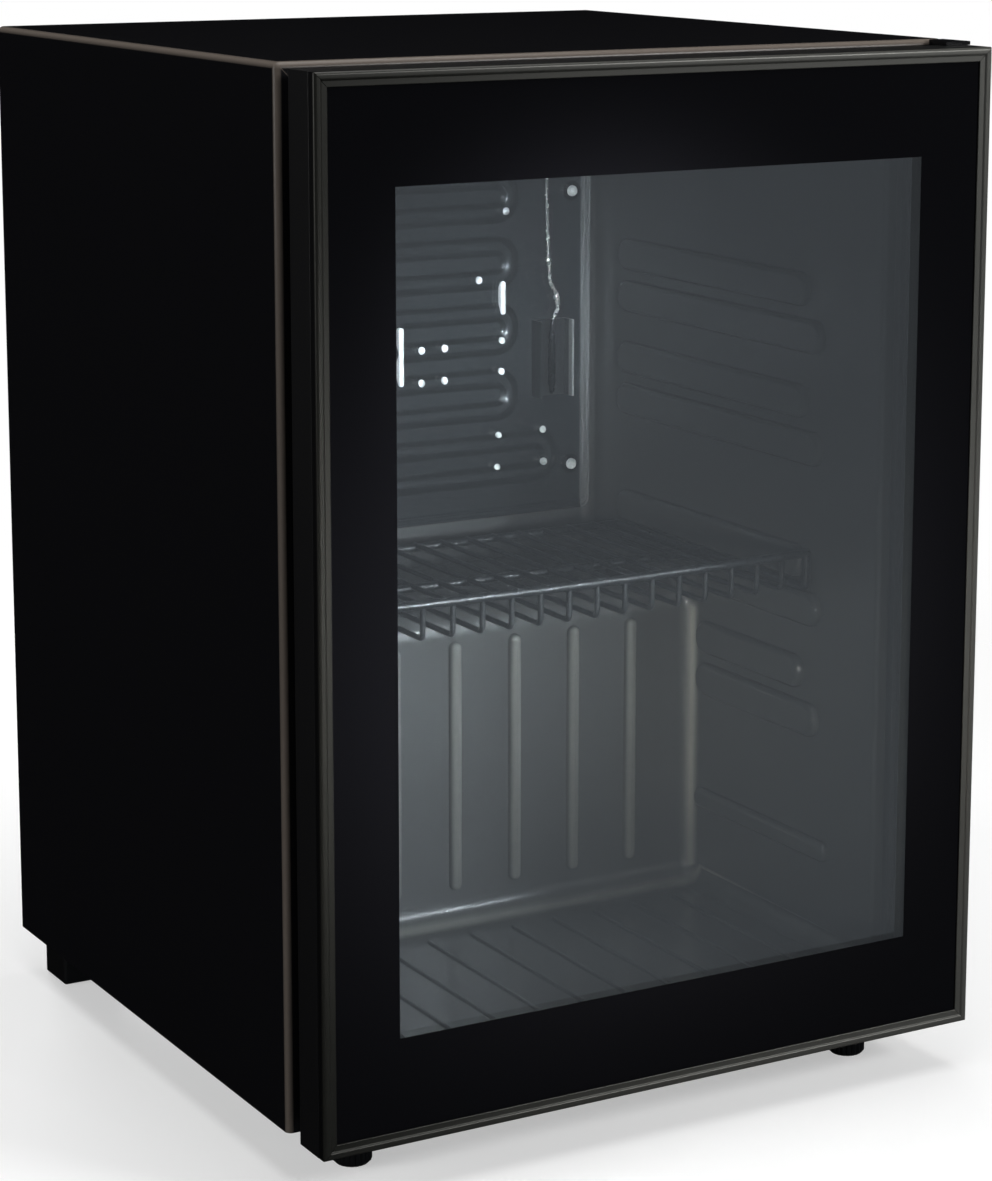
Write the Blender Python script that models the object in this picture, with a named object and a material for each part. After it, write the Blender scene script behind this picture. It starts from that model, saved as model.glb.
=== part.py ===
"""Small beverage refrigerator with a glass door on the right-hand hinge.

A folded steel cabinet holds a foam-insulated liner with a compressor bay behind its lower half. The
origin is on the floor under the middle of the refrigerator, +Z is up and the door faces -Y.
"""

import math

import bmesh
import bpy
from mathutils import Vector

# Cabinet
CABINET_WIDTH = 0.402
CABINET_DEPTH = 0.370
CABINET_HEIGHT = 0.546
FOOT_HEIGHT = 0.028
SHEET = 0.001
FOLD_RADIUS = 0.0035
FRONT_FLANGE = 0.008
SIDE_WALL = 0.037
CEILING_WALL = 0.038
FLOOR_WALL = 0.024
BACK_WALL = 0.061
BACK_RECESS = 0.019
GAP = 0.0003
FOAM_GAP = 0.0005

# Liner and the hump over the compressor bay
LINER = 0.002
LOWER_DEPTH = 0.187
HUMP_HEIGHT = 0.212
HUMP_WALL = 0.038
COVE_RADIUS = 0.014
BROW_RADIUS = 0.016
SIDE_COVE = 0.010
PANEL_BEND = 0.006
SHELF_CLEARANCE = 0.0205
RAIL_STEPS = (-0.065, 0.0, 0.093, 0.157)
RAIL_REACH = 0.005
RAIL_HEIGHT = 0.020
RAIL_ROUND = 0.0025
UPPER_RAIL_START = 0.0685
LOWER_RAIL_START = 0.053
RAIL_BACK_SPACE = 0.030
GUARD_RAIL_LEVEL = 0.086
GUARD_RAIL_HEIGHT = 0.012
GUARD_RAIL_START = 0.041
HUMP_RIB_PITCH = 0.040
HUMP_RIB_WIDTH = 0.009
HUMP_RIB_REACH = 0.003
HUMP_RIB_FOOT = 0.019
HUMP_RIB_HEAD = 0.022
FLOOR_RIB_PITCH = 0.028
FLOOR_RIB_WIDTH = 0.010
FLOOR_RIB_REACH = 0.0015
FLOOR_RIB_MARGIN = 0.022
SINK = 0.001

# Wire shelf
SHELF_FRONT = 0.064
SHELF_BACK = 0.270
SHELF_BOW = 0.006
SHELF_ROD = 0.0025
SHELF_WIRE = 0.0016
SHELF_WIRE_PITCH = 0.0179
SHELF_FENCE = 0.020
SHELF_BEND = 0.005
SHELF_MIDDLE_ROD = 0.172
SHELF_SIDE_PLAY = 0.0006

# Evaporator plate
EVAPORATOR_STANDOFF = 0.009
EVAPORATOR_SHEET = 0.0016
EVAPORATOR_SIDE = 0.009
EVAPORATOR_FLOAT = 0.026
EVAPORATOR_DROP = 0.050
EVAPORATOR_CORNER = 0.006
CHANNEL_PITCH = 0.0205
CHANNEL_STRAIGHT = 0.001
CHANNEL_HALF = 0.0048
CHANNEL_REACH = 0.0026
CHANNEL_FOOT = 0.026
LONG_CHANNELS = 2
LONG_CHANNEL_END = 0.026
SHORT_CHANNEL_END = 0.054
SCREW_SIDE = 0.010
SCREW_LOW = 0.029
SCREW_HIGH = 0.019
SCREW_SHANK = 0.0022
SCREW_HEAD = 0.0042
SCREW_WASHER = 0.0062
WASHER_SHEET = 0.001
HEAD_HEIGHT = 0.003
SCREW_PLAY = 0.0004
SPACER_POST = 0.005

# Thermostat
THERMOSTAT_WIDTH = 0.062
THERMOSTAT_DEPTH = 0.083
THERMOSTAT_HEIGHT = 0.040
THERMOSTAT_SIDE = 0.014
THERMOSTAT_ROUND = 0.004
THERMOSTAT_BACK_SPACE = 0.012
KNOB_RADIUS = 0.013
KNOB_DEPTH = 0.008
KNOB_GRIP = 0.0035
KNOB_GRIP_HEIGHT = 0.006
CLIP_WIDTH = 0.024
CLIP_HEIGHT = 0.048
CLIP_DEPTH = 0.011
CLIP_WALL = 0.0015
CLIP_FOOT = 0.074
CLIP_SIDE = 0.014
BULB_RADIUS = 0.0024
CAPILLARY_RADIUS = 0.0011
CAPILLARY_STANDOFF = 0.005

# Door
GASKET_GAP = 0.0135
DOOR_THICKNESS = 0.0285
DOOR_DROP = 0.0025
TRIM_WIDTH = 0.0075
TRIM_RIDGE = 0.0034
TRIM_DEPTH = 0.006
TRIM_EDGE = 0.0008
TRIM_LIP = 0.0008
GLASS_RECESS = 0.002
PANE = 0.004
SPACER_DEPTH = 0.009
SPACER_INSET = 0.013
SPACER_WIDTH = 0.007
FRAME_WALL = 0.0032
FRAME_WEB = 0.031
GROOVE_INSET = 0.019
GROOVE_WIDTH = 0.006
GROOVE_DEPTH = 0.0045
GASKET_INSET = 0.013
GASKET_WIDTH = 0.0175
GASKET_HEAD = 0.006
GASKET_BASE = 0.0025
GASKET_WAIST = 0.0042

# Door hinges
PIVOT_INSET = 0.011
HINGE_PIN = 0.002
HINGE_PIN_LENGTH = 0.0095
HINGE_BUSH = 0.003
HINGE_BUSH_LENGTH = 0.010
HINGE_SHEET = 0.002
HINGE_LEG = 0.045
HINGE_TONGUE = 0.006
HINGE_EDGE = 0.001
HINGE_WIDTH = 0.0095

# Feet
FRONT_FOOT_RADIUS = 0.0105
FRONT_FOOT_INSET = 0.043
FRONT_FOOT_SETBACK = 0.0125
FRONT_FOOT_KNURLS = 20
KNURL_DEPTH = 0.0006
FOOT_CHAMFER = 0.0018
STEM_RADIUS = 0.003
STEM_LENGTH = 0.010
REAR_FOOT_WIDTH = 0.030
REAR_FOOT_DEPTH = 0.031
REAR_FOOT_INSET = 0.012
REAR_FOOT_SETBACK = 0.0064
REAR_FOOT_ROUND = 0.002

# Compressor bay
TRAY_SHEET = 0.0015
TRAY_LIP = 0.015
TRAY_START = 0.016
TRAY_SETBACK = 0.002
PAN_OVERLAP = 0.012
COMPRESSOR_OFFSET = -0.055
COMPRESSOR_HALF_WIDTH = 0.060
COMPRESSOR_HALF_DEPTH = 0.047
COMPRESSOR_HEIGHT = 0.118
COMPRESSOR_DOME = 0.026
WELD_RIM = 0.003
WELD_RIM_HEIGHT = 0.005
WELD_RIM_LEVEL = 0.066
LEG_PLATE_WIDTH = 0.150
LEG_PLATE_DEPTH = 0.086
LEG_PLATE_SHEET = 0.003
LEG_PLATE_ROUND = 0.010
LEG_PLATE_LEVEL = 0.006
GROMMET_INSET = 0.0105
GROMMET_RADIUS = 0.008
GROMMET_NECK = 0.0045
GROMMET_HEIGHT = 0.011
GROMMET_CAP = 0.0065
GROMMET_CAP_HEIGHT = 0.002
RELAY_WIDTH = 0.036
RELAY_DEPTH = 0.044
RELAY_HEIGHT = 0.046
RELAY_LEVEL = 0.034
RELAY_ROUND = 0.004
GLAND_RADIUS = 0.0075
GLAND_NECK = 0.0055
GLAND_BORE = 0.0035
GLAND_LENGTH = 0.012
GLAND_FLANGE = 0.003
DISCHARGE_RADIUS = 0.0025
SUCTION_RADIUS = 0.004
PIPE_LEVEL = 0.040
PIPE_BEND = 0.012
DRIER_RADIUS = 0.009
DRIER_LENGTH = 0.075
DRIER_TAPER = 0.012
DRIER_LEVEL = 0.055
DRAIN_RADIUS = 0.006
DRAIN_BORE = 0.004
DRAIN_FLANGE = 0.010
DRAIN_FLANGE_SHEET = 0.001
DRAIN_OFFSET = 0.024
DRAIN_MARGIN = 0.001
DRIP_TRAY_WIDTH = 0.096
DRIP_TRAY_DEPTH = 0.074
DRIP_TRAY_HEIGHT = 0.016
DRIP_TRAY_WALL = 0.0015

# Condenser
CONDENSER_TUBE = 0.0024
CONDENSER_STANDOFF = 0.0095
CONDENSER_SIDE = 0.036
CONDENSER_RISER = 0.016
CONDENSER_FOOT = 0.024
CONDENSER_HEAD = 0.026
CONDENSER_PITCH = 0.026
CONDENSER_WIRE = 0.0016
CONDENSER_WIRE_PITCH = 0.016
BRACKET_WIDTH = 0.012
BRACKET_INSET = 0.060

# Planes that the driving dimensions give
HALF = CABINET_WIDTH / 2
FRONT = -(CABINET_DEPTH - GASKET_GAP - DOOR_THICKNESS) / 2
BACK = FRONT + CABINET_DEPTH
BASE = FOOT_HEIGHT
TOP = BASE + CABINET_HEIGHT
INNER_HALF = HALF - SIDE_WALL
INNER_FLOOR = BASE + FLOOR_WALL
INNER_TOP = TOP - CEILING_WALL
INNER_BACK = BACK - BACK_WALL
HUMP_FACE = FRONT + LOWER_DEPTH
HUMP_TOP = BASE + HUMP_HEIGHT
PANEL_BACK = BACK - BACK_RECESS
BAY_FRONT = HUMP_FACE + HUMP_WALL
BAY_TOP = HUMP_TOP - HUMP_WALL
DOOR_BACK = FRONT - GASKET_GAP
DOOR_FRONT = DOOR_BACK - DOOR_THICKNESS
DOOR_TOP = TOP - DOOR_DROP

# Finishes: colour in linear light, roughness and metallic value
BLACK_PAINT = ((0.004, 0.004, 0.0045), 0.30, 0.0)
BLACK_PLASTIC = ((0.006, 0.006, 0.0065), 0.45, 0.0)
LINER_GREY = ((0.085, 0.088, 0.092), 0.35, 0.0)
GUNMETAL = ((0.130, 0.128, 0.118), 0.35, 0.9)
ALUMINIUM = ((0.50, 0.51, 0.52), 0.40, 1.0)
STEEL = ((0.42, 0.42, 0.43), 0.35, 1.0)
BLACK_WIRE = ((0.020, 0.020, 0.021), 0.35, 0.0)
GALVANISED = ((0.36, 0.37, 0.38), 0.45, 1.0)
COPPER = ((0.62, 0.27, 0.15), 0.35, 1.0)
GLASS = ((0.45, 0.48, 0.50), 0.02, 0.0)
RUBBER = ((0.012, 0.012, 0.012), 0.75, 0.0)
FOAM = ((0.72, 0.62, 0.36), 0.90, 0.0)
WHITE_PLASTIC = ((0.60, 0.60, 0.58), 0.45, 0.0)
NYLON = ((0.55, 0.54, 0.50), 0.50, 0.0)

for old in list(bpy.data.objects):
    bpy.data.objects.remove(old)


def paint(obj, finish):
    """Gives an object a material of its own."""
    colour, roughness, metallic = finish
    material = bpy.data.materials.new(obj.name)
    material.use_nodes = True
    shader = material.node_tree.nodes["Principled BSDF"]
    shader.inputs["Base Color"].default_value = (*colour, 1.0)
    shader.inputs["Roughness"].default_value = roughness
    shader.inputs["Metallic"].default_value = metallic
    obj.data.materials.append(material)


def solid(name, shape):
    """Turns a bmesh into an object with its faces pointing out."""
    bmesh.ops.recalc_face_normals(shape, faces=shape.faces)
    mesh = bpy.data.meshes.new(name)
    shape.to_mesh(mesh)
    shape.free()
    obj = bpy.data.objects.new(name, mesh)
    bpy.context.collection.objects.link(obj)
    return obj


def piece(name, shape, finish, smooth=False):
    """Makes one named sub-part."""
    obj = solid(name, shape)
    paint(obj, finish)
    if smooth:
        obj.data.shade_smooth()
        obj.data.set_sharp_from_angle(angle=math.radians(40))
    return obj


def combine(obj, name, shape, operation):
    """Cuts a helper shape out of an object, or joins it on."""
    helper = solid(f"{obj.name}_{name}", shape)
    helper.hide_render = True
    helper.display_type = "WIRE"
    step = obj.modifiers.new(name, "BOOLEAN")
    step.operation = operation
    step.solver = "EXACT"
    step.object = helper


def pivot(name, place, children):
    """Hangs pieces on an empty that stands on their joint's axis."""
    empty = bpy.data.objects.new(name, None)
    empty.location = place
    bpy.context.collection.objects.link(empty)
    for child in children:
        child.parent = empty
        child.location = -Vector(place)


def loft(rings, closed=False):
    """Skins rings of equal count; the ends are capped unless the last ring meets the first."""
    shape = bmesh.new()
    loops = [[shape.verts.new(point) for point in ring] for ring in rings]
    pairs = list(zip(loops, loops[1:]))
    if closed:
        pairs.append((loops[-1], loops[0]))
    else:
        shape.faces.new(loops[0])
        shape.faces.new(loops[-1])
    for near, far in pairs:
        for index in range(len(near)):
            after = (index + 1) % len(near)
            shape.faces.new((near[index], near[after], far[after], far[index]))
    return shape


def merged(shapes):
    """Puts several shapes that stay apart into one bmesh."""
    whole = bmesh.new()
    for shape in shapes:
        mesh = bpy.data.meshes.new("shape")
        shape.to_mesh(mesh)
        shape.free()
        whole.from_mesh(mesh)
        bpy.data.meshes.remove(mesh)
    return whole


def block(low, high):
    """A box between two corners."""
    shape = bmesh.new()
    bmesh.ops.create_cube(shape, size=1.0)
    low = Vector(low)
    size = Vector(high) - low
    for vert in shape.verts:
        share = vert.co + Vector((0.5, 0.5, 0.5))
        vert.co = low + Vector(part * length for part, length in zip(share, size))
    return shape


def round_edges(shape, radius, chosen, segments=3):
    """Rounds the edges whose two ends pass a test."""
    edges = [edge for edge in shape.edges if chosen(edge.verts[0].co, edge.verts[1].co)]
    bmesh.ops.bevel(
        shape, geom=edges, offset=radius, segments=segments, profile=0.5, affect="EDGES", clamp_overlap=True
    )
    return shape


def rounded(points, radii, steps=4, closed=False):
    """A path whose corners are arcs, each with its own radius; a radius of 0 keeps the corner."""
    points = [Vector(point) for point in points]
    path = []
    for index, (corner, radius) in enumerate(zip(points, radii)):
        is_end = not closed and index in (0, len(points) - 1)
        if is_end or radius <= 0:
            path.append(corner)
            continue
        before = (points[index - 1] - corner).normalized()
        after = (points[(index + 1) % len(points)] - corner).normalized()
        half = before.angle(after) / 2
        centre = corner + (before + after).normalized() * (radius / math.sin(half))
        first = corner + before * (radius / math.tan(half)) - centre
        last = corner + after * (radius / math.tan(half)) - centre
        path.extend(centre + first.slerp(last, step / steps) * radius for step in range(steps + 1))
    return path


def prism(outline, axis, start, end):
    """An outline in the plane of the two other axes, carried along one axis."""
    place = {
        "X": lambda point, level: (level, point[0], point[1]),
        "Y": lambda point, level: (point[0], level, point[1]),
        "Z": lambda point, level: (point[0], point[1], level),
    }[axis]
    return loft([[place(point, level) for point in outline] for level in (start, end)])


def plate_outline(half_width, low, high, radius, steps=3):
    """A rectangle about the vertical axis with rounded corners."""
    corners = [(-half_width, low), (half_width, low), (half_width, high), (-half_width, high)]
    return rounded(corners, [radius] * 4, steps, closed=True)


def turned(profile, centre, axis="Z", sides=16, bored=False, stretch=(1.0, 1.0)):
    """A profile of (radius, height) turned about an axis; a bored one closes on its own inner wall."""
    centre = Vector(centre)
    rings = []
    for radius, height in profile:
        ring = []
        for index in range(sides):
            angle = 2 * math.pi * (index + 0.5) / sides
            across = radius * math.cos(angle) * stretch[0]
            along = radius * math.sin(angle) * stretch[1]
            offset = {
                "X": (height, across, along),
                "Y": (across, height, along),
                "Z": (across, along, height),
            }[axis]
            ring.append(centre + Vector(offset))
        rings.append(ring)
    return loft(rings, closed=bored)


def tube(path, radii, sides=8):
    """A round tube along a path, with a radius at each point."""
    path = [Vector(point) for point in path]
    ahead = path[1:] + [path[-1] * 2 - path[-2]]
    behind = [path[0] * 2 - path[1]] + path[:-1]
    tangents = [
        ((after - point).normalized() + (point - before).normalized()).normalized()
        for before, point, after in zip(behind, path, ahead)
    ]
    side = tangents[0].orthogonal().normalized()
    rings = []
    for index, (point, tangent, radius) in enumerate(zip(path, tangents, radii)):
        if index:
            side = tangents[index - 1].rotation_difference(tangent) @ side
        up = tangent.cross(side)
        angles = [2 * math.pi * (step + 0.5) / sides for step in range(sides)]
        rings.append([point + (side * math.cos(a) + up * math.sin(a)) * radius for a in angles])
    return loft(rings)


def pipe(path, radius, sides=8):
    """A tube of one radius."""
    return tube(path, [radius] * len(path), sides)


def pattern(half_span, pitch):
    """Places across the middle, a pitch apart, that stay within half a span."""
    count = int(half_span / pitch)
    return [index * pitch for index in range(-count, count + 1)]


def folded_wrap(inset, radius, front, back, bottom):
    """The wrap's outside, or its inside when inset: a block with rounded top and front folds."""
    half = HALF - inset
    top = TOP - inset
    shape = block((-half, front, bottom), (half, back, top))

    def on_fold(one, other):
        middle = (one + other) / 2
        at_front = abs(middle.y - front) < 1e-6
        at_top = abs(middle.z - top) < 1e-6
        at_side = abs(abs(middle.x) - half) < 1e-6
        return (at_front and (at_top or at_side)) or (at_top and at_side)

    return round_edges(shape, radius, on_fold)


def cabinet_wrap():
    """One sheet folded over both sides and the top, returned inward round the door opening."""
    beyond = 0.01
    wrap = piece("cabinet_wrap", folded_wrap(0.0, FOLD_RADIUS, FRONT, BACK, BASE), BLACK_PAINT, smooth=True)
    inside = folded_wrap(SHEET, FOLD_RADIUS - SHEET, FRONT + SHEET, BACK + beyond, BASE - beyond)
    combine(wrap, "inside", inside, "DIFFERENCE")
    half = HALF - FRONT_FLANGE
    low = (-half, FRONT - beyond, BASE - beyond)
    high = (half, FRONT + 2 * SHEET, TOP - FRONT_FLANGE)
    combine(wrap, "opening", block(low, high), "DIFFERENCE")


def room_outline(wall, front):
    """The liner room's side view, grown by a wall, with its open side at the given plane."""
    floor = INNER_FLOOR - wall
    top = INNER_TOP + wall
    back = INNER_BACK + wall
    face = HUMP_FACE + wall
    step = HUMP_TOP - wall
    corners = [(front, floor), (face, floor), (face, step), (back, step), (back, top), (front, top)]
    cove = COVE_RADIUS + wall
    return rounded(corners, [0, cove, BROW_RADIUS - wall, cove, cove, 0], closed=True)


def cavity(wall, front, steps=4):
    """The room inside the liner as a solid, its side view drawn in along a cove at each side wall."""
    half = INNER_HALF + wall
    cove = SIDE_COVE + wall
    rings = []
    for side in (-1, 1):
        for step in range(steps + 1)[::side]:
            angle = math.pi / 2 * step / steps
            across = side * (half - cove + cove * math.sin(angle))
            outline = room_outline(wall - cove * (1 - math.cos(angle)), front)
            rings.append([(across, point.x, point.y) for point in outline])
    return loft(rings)


def rear_path(inset, low, high):
    """The rear panel's run from the top down the back, over the compressor bay and down its front wall."""
    corners = [
        (PANEL_BACK - inset, high),
        (PANEL_BACK - inset, BAY_TOP + inset),
        (BAY_FRONT - inset, BAY_TOP + inset),
        (BAY_FRONT - inset, low),
    ]
    return rounded(corners, [0, PANEL_BEND - inset, PANEL_BEND + inset, 0])


def drain_place():
    """Where the drain tube stands, in front of the cove along the back wall and over the drip tray."""
    return COMPRESSOR_OFFSET + DRAIN_OFFSET, INNER_BACK - COVE_RADIUS - DRAIN_FLANGE - DRAIN_MARGIN


def drain_hole(clearance):
    """A rod through the hump's top for the drain tube."""
    across, along = drain_place()
    radius = DRAIN_RADIUS + clearance
    return turned([(radius, BAY_TOP - HUMP_WALL), (radius, HUMP_TOP + HUMP_WALL)], (across, along, 0), sides=12)


def rear_panel():
    """Bent sheet behind the foam, stepped forward over the compressor bay."""
    low = BASE + SHEET + GAP
    high = TOP - SHEET - GAP
    outline = rear_path(0.0, low, high) + rear_path(SHEET, low, high)[::-1]
    half = HALF - SHEET - GAP
    shape = prism(outline, "X", -half, half)

    def at_top(one, other):
        return min(one.z, other.z) > high - 1e-6 and abs(one.x - other.x) < 1e-6

    shape = round_edges(shape, FOLD_RADIUS, at_top)
    panel = piece("rear_panel", shape, GALVANISED)
    combine(panel, "drain_hole", drain_hole(GAP), "DIFFERENCE")


def foot_places():
    """The two front feet's axes."""
    return [(side * (HALF - FRONT_FOOT_INSET), FRONT + FRONT_FOOT_SETBACK) for side in (-1, 1)]


def stem_holes(clearance, depth):
    """Rods for the front feet's threaded stems."""
    radius = STEM_RADIUS + clearance
    profile = [(radius, BASE - depth), (radius, BASE + depth)]
    return merged(turned(profile, (*place, 0), sides=12) for place in foot_places())


def base_pan():
    """Bottom sheet with a turned-up front lip, behind the wrap's flange."""
    front = FRONT + SHEET + GAP
    lip = BASE + FRONT_FLANGE
    end = BAY_FRONT + PAN_OVERLAP
    outline = [
        (front, lip),
        (front, BASE),
        (end, BASE),
        (end, BASE + SHEET),
        (front + SHEET, BASE + SHEET),
        (front + SHEET, lip),
    ]
    half = HALF - FOLD_RADIUS - GAP
    pan = piece("base_pan", prism(outline, "X", -half, half), GALVANISED)
    combine(pan, "stem_holes", stem_holes(GAP, STEM_LENGTH), "DIFFERENCE")


def insulation_foam():
    """Foam between the wrap and the liner, one mass that fills every wall."""
    front = FRONT + SHEET + GAP + SHEET + FOAM_GAP
    low = BASE + SHEET + FOAM_GAP
    high = TOP - SHEET - FOAM_GAP
    half = HALF - SHEET - FOAM_GAP
    outline = [(front, low), (front, high)] + rear_path(SHEET + FOAM_GAP, low, high)
    shape = prism(outline, "X", -half, half)

    def top_fold(one, other):
        return min(one.z, other.z) > high - 1e-6 and abs(one.x - other.x) < 1e-6

    def front_fold(one, other):
        middle = (one + other) / 2
        at_front = max(one.y, other.y) < front + 1e-6
        return at_front and (middle.z > high - 1e-6 or abs(one.x - other.x) < 1e-6)

    def folds(one, other):
        return top_fold(one, other) or front_fold(one, other)

    foam = piece("insulation_foam", round_edges(shape, FOLD_RADIUS, folds), FOAM)
    combine(foam, "liner_space", cavity(LINER + FOAM_GAP, FRONT - 0.01), "DIFFERENCE")
    combine(foam, "drain_hole", drain_hole(FOAM_GAP), "DIFFERENCE")
    combine(foam, "stem_holes", stem_holes(FOAM_GAP, STEM_LENGTH + FOAM_GAP), "DIFFERENCE")


def rail(side, outline):
    """One moulded shelf rail on a side wall, rounded towards the room."""
    inner = side * (INNER_HALF - RAIL_REACH)
    outer = side * (INNER_HALF + SINK)
    shape = prism(outline, "X", inner, outer)

    def faces_room(one, other):
        return abs(one.x - inner) < 1e-6 and abs(other.x - inner) < 1e-6

    return round_edges(shape, RAIL_ROUND, faces_room, segments=2)


def rail_slots():
    """Heights of the shelf slots that find room between the guard rail and the ceiling."""
    low = BASE + GUARD_RAIL_LEVEL + 2 * RAIL_HEIGHT
    high = INNER_TOP - COVE_RADIUS - 2 * RAIL_HEIGHT
    slots = [HUMP_TOP + SHELF_CLEARANCE + step for step in RAIL_STEPS]
    return [slot for slot in slots if low < slot < high]


def rail_outline(start, low, high):
    """A rail's side view: it stops at the hump, or rises clear of the cove on the hump's top."""
    at_face = HUMP_FACE - SIDE_COVE
    at_back = INNER_BACK - RAIL_BACK_SPACE - SIDE_COVE
    clear = HUMP_TOP + SIDE_COVE
    if low > clear:
        return [(start, low), (at_back, low), (at_back, high), (start, high)]
    if high < clear + RAIL_ROUND * 3:
        return [(start, low), (at_face, low), (at_face, high), (start, high)]
    knee = [(at_face, low), (at_face, clear), (at_back, clear), (at_back, high)]
    return [(start, low)] + knee + [(start, high)]


def liner_rails():
    """Pairs of rails, a slot apart, at each shelf level, and one guard rail low on each side."""
    rails = []
    for side in (-1, 1):
        for slot in rail_slots():
            lower = slot - SHELF_ROD - GAP
            upper = slot + SHELF_ROD + SHELF_SIDE_PLAY
            rails.append(rail(side, rail_outline(FRONT + LOWER_RAIL_START, lower - RAIL_HEIGHT, lower)))
            rails.append(rail(side, rail_outline(FRONT + UPPER_RAIL_START, upper, upper + RAIL_HEIGHT)))
        guard = BASE + GUARD_RAIL_LEVEL
        rails.append(rail(side, rail_outline(FRONT + GUARD_RAIL_START, guard - GUARD_RAIL_HEIGHT, guard)))
    return rails


def hump_ribs():
    """Upright round-ended ribs on the hump's front wall."""
    ribs = []
    low = INNER_FLOOR + HUMP_RIB_FOOT
    high = HUMP_TOP - HUMP_RIB_HEAD
    front = HUMP_FACE - HUMP_RIB_REACH
    for across in pattern(INNER_HALF - HUMP_RIB_PITCH, HUMP_RIB_PITCH):
        half = HUMP_RIB_WIDTH / 2
        shape = block((across - half, front, low), (across + half, HUMP_FACE + SINK, high))

        def faces_room(one, other):
            return max(one.y, other.y) < front + 1e-6

        ribs.append(round_edges(shape, HUMP_RIB_REACH * 0.9, faces_room, segments=2))
    return ribs


def floor_ribs():
    """Low ribs that run from front to back on the floor."""
    ribs = []
    high = INNER_FLOOR + FLOOR_RIB_REACH
    start = FRONT + FLOOR_RIB_MARGIN
    end = HUMP_FACE - FLOOR_RIB_MARGIN
    for across in pattern(INNER_HALF - FLOOR_RIB_PITCH / 2, FLOOR_RIB_PITCH):
        half = FLOOR_RIB_WIDTH / 2
        shape = block((across - half, start, INNER_FLOOR - SINK), (across + half, end, high))

        def faces_room(one, other):
            return min(one.z, other.z) > high - 1e-6

        ribs.append(round_edges(shape, FLOOR_RIB_REACH * 0.9, faces_room, segments=1))
    return ribs


def inner_liner():
    """Thermoformed tub with its front flange, rails, hump and ribs in one moulding."""
    half = HALF - FRONT_FLANGE - GAP
    low = (-half, FRONT, BASE + FRONT_FLANGE + GAP)
    high = (half, FRONT + LINER, TOP - FRONT_FLANGE - GAP)
    liner = piece("inner_liner", block(low, high), LINER_GREY, smooth=True)
    combine(liner, "tub", cavity(LINER, FRONT + LINER / 2), "UNION")
    combine(liner, "room", cavity(0.0, FRONT - 0.01), "DIFFERENCE")
    combine(liner, "ribs", merged(liner_rails() + hump_ribs() + floor_ribs()), "UNION")
    combine(liner, "drain_hole", drain_hole(GAP), "DIFFERENCE")


def wire_shelf():
    """Welded wire shelf: wires run from front to back and turn up into a fence along a bowed front rod."""
    level = HUMP_TOP + SHELF_CLEARANCE
    half = INNER_HALF - SHELF_SIDE_PLAY - SHELF_ROD
    back = FRONT + SHELF_BACK
    places = pattern(half - SHELF_WIRE_PITCH / 2, SHELF_WIRE_PITCH)

    def front_at(across):
        return FRONT + SHELF_FRONT - SHELF_BOW * (1 - (across / half) ** 2)

    def wire(across, height, radius, sides):
        corners = [
            (across, back, height),
            (across, front_at(across), height),
            (across, front_at(across), level + SHELF_FENCE),
        ]
        return pipe(rounded(corners, [0, SHELF_BEND, 0], steps=3), radius, sides)

    raised = level + SHELF_ROD - SHELF_WIRE + GAP
    wires = [wire(across, raised, SHELF_WIRE, 6) for across in places]
    wires += [wire(side * half, level, SHELF_ROD, 8) for side in (-1, 1)]
    overhang = SHELF_ROD * 0.6
    stations = [-half - overhang] + places[1::3] + [half + overhang]
    fence = [(across, front_at(across), level + SHELF_FENCE) for across in stations]
    rods = [pipe(fence, SHELF_ROD, 8)]
    for along in (FRONT + SHELF_MIDDLE_ROD, back - SHELF_ROD):
        rods.append(pipe([(-half, along, level), (half, along, level)], SHELF_ROD, 8))
    shelf = piece("wire_shelf", merged(wires), BLACK_WIRE, smooth=True)
    combine(shelf, "rods", merged(rods), "UNION")


def evaporator_face():
    """The front plane of the evaporator plate."""
    return INNER_BACK - EVAPORATOR_STANDOFF


def evaporator_span():
    """The evaporator plate's lower and upper edges."""
    return HUMP_TOP + EVAPORATOR_FLOAT, INNER_TOP - EVAPORATOR_DROP


def channel_path():
    """The refrigerant channel's run across the plate, from the lowest pass to the highest."""
    low, high = evaporator_span()
    half = INNER_HALF - EVAPORATOR_SIDE
    count = int((high - low - CHANNEL_FOOT - CHANNEL_HALF) / CHANNEL_PITCH) + 1
    corners = []
    for index in range(count):
        long_pass = index < LONG_CHANNELS
        end = half - (LONG_CHANNEL_END if long_pass else SHORT_CHANNEL_END)
        level = low + CHANNEL_FOOT + index * CHANNEL_PITCH
        side = 1 if index % 2 else -1
        corners += [(side * end, level), (-side * end, level)]
    radii = [CHANNEL_PITCH / 2 - CHANNEL_STRAIGHT] * len(corners)
    for index in range(1, len(corners) - 2, 2):
        step = abs(corners[index][0] - corners[index + 1][0])
        if step > GAP:
            corners[index + 1] = (corners[index][0], corners[index + 1][1])
    return rounded(corners, radii, steps=4)


def evaporator_channel():
    """A low round ridge along the channel's run."""
    path = channel_path()
    face = evaporator_face()
    section = [(-1.0, -0.2), (-0.75, 0.7), (0.0, 1.0), (0.75, 0.7), (1.0, -0.2)]
    rings = []
    ahead = path[1:] + [path[-1] * 2 - path[-2]]
    behind = [path[0] * 2 - path[1]] + path[:-1]
    for before, point, after in zip(behind, path, ahead):
        along = ((after - point).normalized() + (point - before).normalized()).normalized()
        across = Vector((-along.y, along.x))
        ring = []
        for share, rise in section:
            place = point + across * (share * CHANNEL_HALF)
            ring.append((place.x, face - rise * CHANNEL_REACH, place.y))
        rings.append(ring)
    return loft(rings)


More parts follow.
